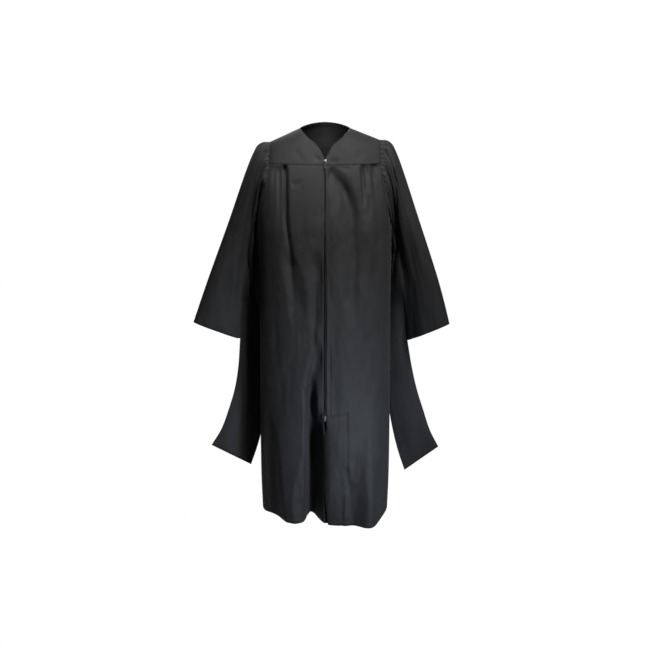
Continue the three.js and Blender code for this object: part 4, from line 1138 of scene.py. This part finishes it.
def sleeve_layer(side, layer):
    share, along = np.meshgrid((1 - np.cos(SLEEVE_ANGLES)) / 2, SLEEVE_ROWS)
    upper = sleeve_form(side, layer, share, along)
    start = sleeve_form(side, layer, share[:1], np.zeros_like(share[:1]), creased=False)
    settle = (1 - smoothstep(along, 0, 0.2))[..., None]
    upper = upper + (armhole_line(side, layer, share[:1]) - start) * settle
    in_tail = np.clip((share[0] - CUFF_SHARE) / (1 - CUFF_SHARE), 0, 1)
    tail_share, tail_along = np.meshgrid(in_tail, TAIL_ROWS)
    lower = tail_form(side, layer, tail_share, tail_along)
    join = (1 - smoothstep(tail_along, 0, 0.3))[..., None]
    lower = lower + (upper[-1:] - lower[:1]) * join
    points = np.concatenate([upper, lower[1:]])
    keep = np.ones((points.shape[0] - 1, points.shape[1] - 1), bool)
    keep[len(SLEEVE_ROWS) - 1:, :CUFF_COLUMNS - 1] = False
    cuff = upper[::-1, :CUFF_COLUMNS]
    cuff_turn = turned_edge(cuff, grid_normals(cuff, layer * TO_BACK), CUFF_HEM)
    name = f"sleeve_{LAYER_WORD[layer]}_{SIDE_WORD[side]}"
    grids = [points * on_side(side), cuff_turn * on_side(side)]
    piece = cloth_piece("cloth_" + name, grids, black_cloth, keep)
    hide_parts(name)
    return piece


sleeves = {(side, layer): sleeve_layer(side, layer) for side in SIDE_WORD for layer in LAYER_WORD}
print("sleeve layers:", [len(p.data.polygons) for p in sleeves.values()], "faces")

# %% [markdown]
# ## Stitching
# A row of stitches holds every turned edge. From the photograph's distance the thread itself is
# too fine to see, but close up it is what makes a flat edge look sewn. Each stitch is a short
# bead that dips into the cloth at both ends. We make them as one mesh per seam, because
# thousands of separate objects would be slow.

# %% Stitch helper
STITCH_PITCH, STITCH_LONG, THREAD_HALF = 3.4, 2.5, 0.26
RING_ALONG = np.array([-0.5, -0.3, 0.0, 0.3, 0.5]) * STITCH_LONG
RING_LIFT = np.array([-0.30, 0.14, 0.30, 0.14, -0.30])
RING_HALF = np.array([0.35, 0.9, 1.0, 0.9, 0.35]) * THREAD_HALF
RINGS, ROUND = len(RING_ALONG), 5


def stitches(name, path, normals):
    """A row of stitches along points on the cloth, standing on the side of the normals."""
    lengths = np.r_[0, np.cumsum(np.linalg.norm(np.diff(path, axis=0), axis=1))]
    count = int(lengths[-1] / STITCH_PITCH)
    angles = np.arange(ROUND) * 2 * np.pi / ROUND
    at = ((np.arange(count) + 0.5) * STITCH_PITCH)[:, None] + RING_ALONG[None]
    sample = lambda values: np.stack([np.interp(at, lengths, values[:, k]) for k in range(3)], -1)
    spine, up = sample(path), unit(sample(normals))
    over = np.cross(unit(np.gradient(spine, axis=1)), up)
    spine = spine + up * (RING_LIFT + CLOTH_THICK / 2)[None, :, None]
    ring = (over[:, :, None] * np.cos(angles)[None, None, :, None]
            + up[:, :, None] * np.sin(angles)[None, None, :, None])
    places = spine[:, :, None] + ring * RING_HALF[None, :, None, None]
    after = lambda k: (k + 1) % ROUND
    one = [(ROUND * s + k, ROUND * s + after(k), ROUND * (s + 1) + after(k), ROUND * (s + 1) + k)
           for s in range(RINGS - 1) for k in range(ROUND)]
    first = RINGS * ROUND * np.arange(count)
    faces = (np.array(one)[None] + first[:, None, None]).reshape(-1, 4).tolist()
    faces += [[c + k for k in range(ROUND - 1, -1, -1)] for c in first.tolist()]
    faces += [[c + (RINGS - 1) * ROUND + k for k in range(ROUND)] for c in first.tolist()]
    new_piece(name, (places.reshape(-1, 3) * MM).tolist(), faces, black_thread)


def sew(name, surface, x, drop, outward):
    """Stitch along a line on a surface."""
    over = surface(x + 0.5, drop) - surface(x - 0.5, drop)
    down = surface(x, drop + 0.5) - surface(x, drop - 0.5)
    normals = unit(np.cross(over, down))
    stitches(name, surface(x, drop), normals * np.sign((normals * outward).sum(-1, keepdims=True)))


print("one stitch every", STITCH_PITCH, "mm")

# %% Sew the hems, the facing and the zip's edges
BESIDE_ZIP_STITCH, ZIP_STITCH_TOP = 15.5, 112
HEM_STITCH = GOWN_LENGTH - HEM_DEPTH
FACING_LINE = [(5, 921), (30, 914), (67, 907), (70, 930), (71, 1000), (71, 1082), (69, 1172), (66, 1272)]

for side, word in SIDE_WORD.items():
    share = np.linspace(0.03, 0.985, 260)
    drop = np.full_like(share, HEM_STITCH)
    x = mix(front_inner(drop, side), side * side_edge(drop, side), share)
    sew(f"hem_stitches_{word}", front_surface, x, drop, TO_FRONT)
    drop = np.linspace(ZIP_STITCH_TOP, ZIP_END_DROP + 12, 300)
    sew(f"zip_stitches_{word}", front_surface, np.full_like(drop, side * BESIDE_ZIP_STITCH), drop, TO_FRONT)
lean = np.sin(np.linspace(-0.9, 0.9, 420) * np.pi / 2)
drop = np.full_like(lean, HEM_STITCH)
sew("hem_stitches_back", back_surface, lean * side_edge(drop, lean), drop, TO_BACK)
sew("facing_stitches", front_surface, *smooth_path(FACING_LINE).T, TO_FRONT)

# %% Sew the yokes, the neckline and the cuffs
ABOVE_SEAM, NECK_STITCH_X, NECK_STITCH_DROP, CUFF_STEP = 3.0, 3.5, 3.0, 0.004


def yoke_front_surface(x, drop):
    x, drop = as_grids(x, drop)
    depth = crease_push(YOKE_CREASES, x, drop) - front_depth(x, drop) - yoke_proud(drop, FRONT_YOKE_DROP)
    return np.stack([x, depth, -drop], -1)


def yoke_back_surface(x, drop):
    x, drop = as_grids(x, drop)
    return np.stack([x, back_depth(x, drop) + yoke_proud(drop, BACK_YOKE_DROP), -drop], -1)


for side, word in SIDE_WORD.items():
    x = side * np.linspace(ZIP_HALF + 3, float(side_edge(FRONT_YOKE_DROP, side)) - 2, 120)
    drop = np.full(120, FRONT_YOKE_DROP - ABOVE_SEAM)
    sew(f"yoke_stitches_{word}", yoke_front_surface, x, drop, TO_FRONT)
    t = np.linspace(0.06, 0.97, 90)
    x, drop = side * (neck_x_at(t) + NECK_STITCH_X), neck_drop_at(t) + NECK_STITCH_DROP
    sew(f"neck_stitches_{word}", yoke_front_surface, x, drop, np.array([0.0, -1.0, 0.6]))
    for layer, face in LAYER_WORD.items():
        share = np.linspace(0.03, CUFF_SHARE - 0.02, 110)[None]
        level = np.full_like(share, 1 - CUFF_HEM / SLEEVE_LONG)
        levels = (level - CUFF_STEP, level, level + CUFF_STEP)
        grid = np.concatenate([sleeve_form(side, layer, share, here) for here in levels])
        normals = grid_normals(grid, layer * TO_BACK)[1]
        stitches(f"cuff_stitches_{face}_{word}", grid[1] * on_side(side), normals * on_side(side))
x = np.linspace(-168, 168, 240)
sew("yoke_stitches_back", yoke_back_surface, x, np.full_like(x, BACK_YOKE_DROP - ABOVE_SEAM), TO_BACK)

# %% [markdown]
# ## Zip
# A nylon coil zip closes the front from the neck down. Its teeth are small loops that alternate
# left and right on two woven tapes, which lie behind the fronts. We make one tooth and repeat
# it in code all the way down the curve of the front. A metal stop ends it at the bottom.

# %% Zip tapes
TAPE_WIDE, TAPE_BEHIND, TAPE_THICK, TAPE_PAST_END = 10.0, 2.2, 0.7, 28
ACROSS = np.array([1.0, 0, 0])


def zip_place(drop):
    """Middle line of the zip and its outward direction at a drop below the neck."""
    drop = np.asarray(drop, float)
    middle = np.stack([np.zeros_like(drop), -front_depth(0.0, drop), -drop], -1)
    slope = (front_depth(0.0, drop + 1) - front_depth(0.0, drop - 1)) / 2
    return middle, unit(np.stack([np.zeros_like(drop), -np.ones_like(drop), slope], -1))


middle, out = zip_place(np.linspace(ZIP_TOP_DROP, ZIP_END_DROP + TAPE_PAST_END, 200))
tapes = []
for side in SIDE_WORD:
    columns = np.linspace(0.7, TAPE_WIDE, 8) * side
    tapes.append(middle[:, None] - out[:, None] * TAPE_BEHIND + columns[None, :, None] * ACROSS)
zip_tape = cloth_piece("zip_tape", tapes, black_tape_with_painted_shade, thick=TAPE_THICK)
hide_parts("zip")
print("zip tape", round((ZIP_END_DROP - ZIP_TOP_DROP) / 10), "cm long")

# %% Zip teeth
TOOTH_PITCH, TOOTH_SHIFT, TOOTH_BEHIND = 1.5, 0.75, 0.4
TOOTH = np.array([(x * wide, y * long, height)
                  for wide, long, height in ((1.35, 0.45, -0.5), (1.05, 0.42, 0.35), (0.7, 0.22, 0.62))
                  for x, y in ((-1, -1), (1, -1), (1, 1), (-1, 1))])
TOOTH_FACES = [(0, 1, 5, 4), (1, 2, 6, 5), (2, 3, 7, 6), (3, 0, 4, 7), (4, 5, 9, 8), (5, 6, 10, 9),
               (6, 7, 11, 10), (7, 4, 8, 11), (8, 9, 10, 11), (3, 2, 1, 0)]

tooth_drops = np.arange(ZIP_TOP_DROP + 4, ZIP_END_DROP, TOOTH_PITCH / 2)
middle, out = zip_place(tooth_drops)
down = np.cross(out, ACROSS)
shift = np.where(np.arange(len(tooth_drops)) % 2, TOOTH_SHIFT, -TOOTH_SHIFT)
places = (middle[:, None] + out[:, None] * (TOOTH[None, :, 2:] - TOOTH_BEHIND)
          + down[:, None] * TOOTH[None, :, 1:2]
          + (TOOTH[None, :, :1] + shift[:, None, None]) * ACROSS)
first = len(TOOTH) * np.arange(len(tooth_drops))
faces = (np.array(TOOTH_FACES)[None] + first[:, None, None]).reshape(-1, 4)
places = (places.reshape(-1, 3) * MM).tolist()
zip_teeth = new_piece("zip_teeth", places, faces.tolist(), black_nylon_with_painted_shade)
print(len(tooth_drops), "teeth")

# %% [markdown]
# ## Slider and pull tab
# The slider closes the zip at the neck, and its tab hangs from a small arched bail. They are
# stamped and cast metal with rounded edges. A 2D curve with a little bevel gives a plate with
# soft edges and holes in one go, and a round-bevelled curve gives the bail.

# %% Metal helpers
SLIDER_DROP = 94.5
WELD_WITHIN = 1e-6


def frame_on_zip(drop):
    """A placement on the zip's middle line that leans with its slope."""
    middle, out = zip_place(drop)
    return Matrix.Translation(Vector(middle * MM)) @ Matrix.Rotation(-math.atan2(out[2], -out[1]), 4, "X")


def rounded_corners(corners, radius, steps=5):
    """An outline with each corner replaced by a short arc."""
    corners = [np.array(c, float) for c in corners]
    line = []
    for k, corner in enumerate(corners):
        before, after = corners[k - 1] - corner, corners[(k + 1) % len(corners)] - corner
        start = corner + before / np.linalg.norm(before) * radius
        end = corner + after / np.linalg.norm(after) * radius
        for t in np.linspace(0, 1, steps):
            line.append((1 - t) ** 2 * start + 2 * t * (1 - t) * corner + t**2 * end)
    return line


def rounded_box(half, low, high, radius):
    return rounded_corners([(half, low), (half, high), (-half, high), (-half, low)], radius)


def curve_mesh(curve, lines, closed):
    """The mesh of a curve through lines of points, as loose points and faces."""
    for line in lines:
        spline = curve.splines.new("POLY")
        spline.points.add(len(line) - 1)
        for point, place in zip(spline.points, line):
            point.co = (*(c * MM for c in place), 1)
        spline.use_cyclic_u = closed
    holder = in_scene("curve_in_use", curve)
    bpy.context.view_layer.update()
    mesh = bpy.data.meshes.new_from_object(holder.evaluated_get(bpy.context.evaluated_depsgraph_get()))
    places = [v.co.copy() for v in mesh.vertices]
    faces = [tuple(p.vertices) for p in mesh.polygons]
    bpy.data.objects.remove(holder)
    bpy.data.curves.remove(curve)
    bpy.data.meshes.remove(mesh)
    return places, faces


def plate(outlines, front, back, soften):
    """A flat plate with softened edges: across, up the zip, and from its front to its back."""
    curve = bpy.data.curves.new("plate", "CURVE")
    curve.dimensions, curve.fill_mode = "2D", "BOTH"
    curve.extrude = ((back - front) / 2 - soften) * MM
    curve.bevel_depth, curve.bevel_resolution = soften * MM, 2
    curve.offset = -soften * MM
    places, faces = curve_mesh(curve, [[(x, z, 0) for x, z in outline] for outline in outlines], True)
    middle = (front + back) / 2 * MM
    return [Vector((p.x, middle - p.z, p.y)) for p in places], faces


def wire(path, half):
    """A round wire along points given across, front to back and up the zip."""
    curve = bpy.data.curves.new("wire", "CURVE")
    curve.dimensions, curve.use_fill_caps = "3D", True
    curve.bevel_depth, curve.bevel_resolution = half * MM, 3
    return curve_mesh(curve, [path], False)


def metal_piece(name, parts, material, drop, body="gown"):
    """Several plates and wires as one piece, set on the slope of the zip."""
    places, faces, frame_here = [], [], frame_on_zip(drop)
    for some_places, some_faces in parts:
        faces += [tuple(len(places) + k for k in f) for f in some_faces]
        places += [tuple(frame_here @ p) for p in some_places]
    return new_piece(name, places, faces, material, body)


def weld(piece):
    """Join the points that plates share, and turn all faces outwards."""
    mesh = bmesh.new()
    mesh.from_mesh(piece.data)
    bmesh.ops.remove_doubles(mesh, verts=mesh.verts, dist=WELD_WITHIN)
    bmesh.ops.recalc_face_normals(mesh, faces=mesh.faces)
    mesh.to_mesh(piece.data)
    mesh.free()


print("slider at drop", SLIDER_DROP, "mm")

# %% Slider and pull tab
CHAIN_FACE, PLATE_FACE, PULL_AXIS = -1.4, -3.5, -4.95
slider_outline = rounded_corners([(3.6, -6.5), (4.8, 6.5), (-4.8, 6.5), (-3.6, -6.5)], 1.6)
bail_line = [(0, PLATE_FACE + 0.5, 4.45), (0, -5.4, 4.4), (0, -6.5, 3.7), (0, -6.95, 2.4),
             (0, -6.95, -2.4), (0, -6.5, -3.7), (0, -5.4, -4.4), (0, PLATE_FACE + 0.5, -4.45)]
slider = metal_piece("slider", [
    plate([slider_outline], PLATE_FACE, CHAIN_FACE - 0.3, 0.45),
    plate([slider_outline], 2.9, 4.7, 0.45),
    plate([rounded_box(1.6, 3.2, 5.8, 0.5)], PLATE_FACE + 0.9, 3.8, 0.2),
    wire(smooth_path(bail_line, 0.4), 0.55),
], slider_metal, SLIDER_DROP)
weld(slider)
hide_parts("zip_slider")

tab_outline, tab_window = rounded_box(3.3, -23.3, 0.7, 2.0), rounded_box(1.5, -8.1, -0.7, 0.6)
pull_tab = metal_piece("pull_tab", [
    plate([tab_outline, tab_window], PULL_AXIS - 0.6, PULL_AXIS + 0.6, 0.3),
    plate([rounded_box(1.9, -21.0, -10.6, 1.2)], PULL_AXIS - 0.85, PULL_AXIS + 0.5, 0.2),
], worn_enamel, SLIDER_DROP, "pull_tab")
weld(pull_tab)
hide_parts("zip_pull")
print("slider", [round(c, 4) for c in slider.dimensions], "tab", [round(c, 4) for c in pull_tab.dimensions])

# %% Stop at the zip's lower end
STOP_DROP = ZIP_END_DROP + 23.0
stop_plate = plate([rounded_box(1.7, -9.0, 9.0, 0.9)], -1.9, 0.4, 0.4)
metal_piece("bottom_stop", [stop_plate], bright_metal, STOP_DROP)
print("bottom stop at drop", STOP_DROP)

# %% [markdown]
# ## What the cloth was cut from
# The fronts and the back are cut wider than they hang, because the tucks take up the difference.


print("gown built")
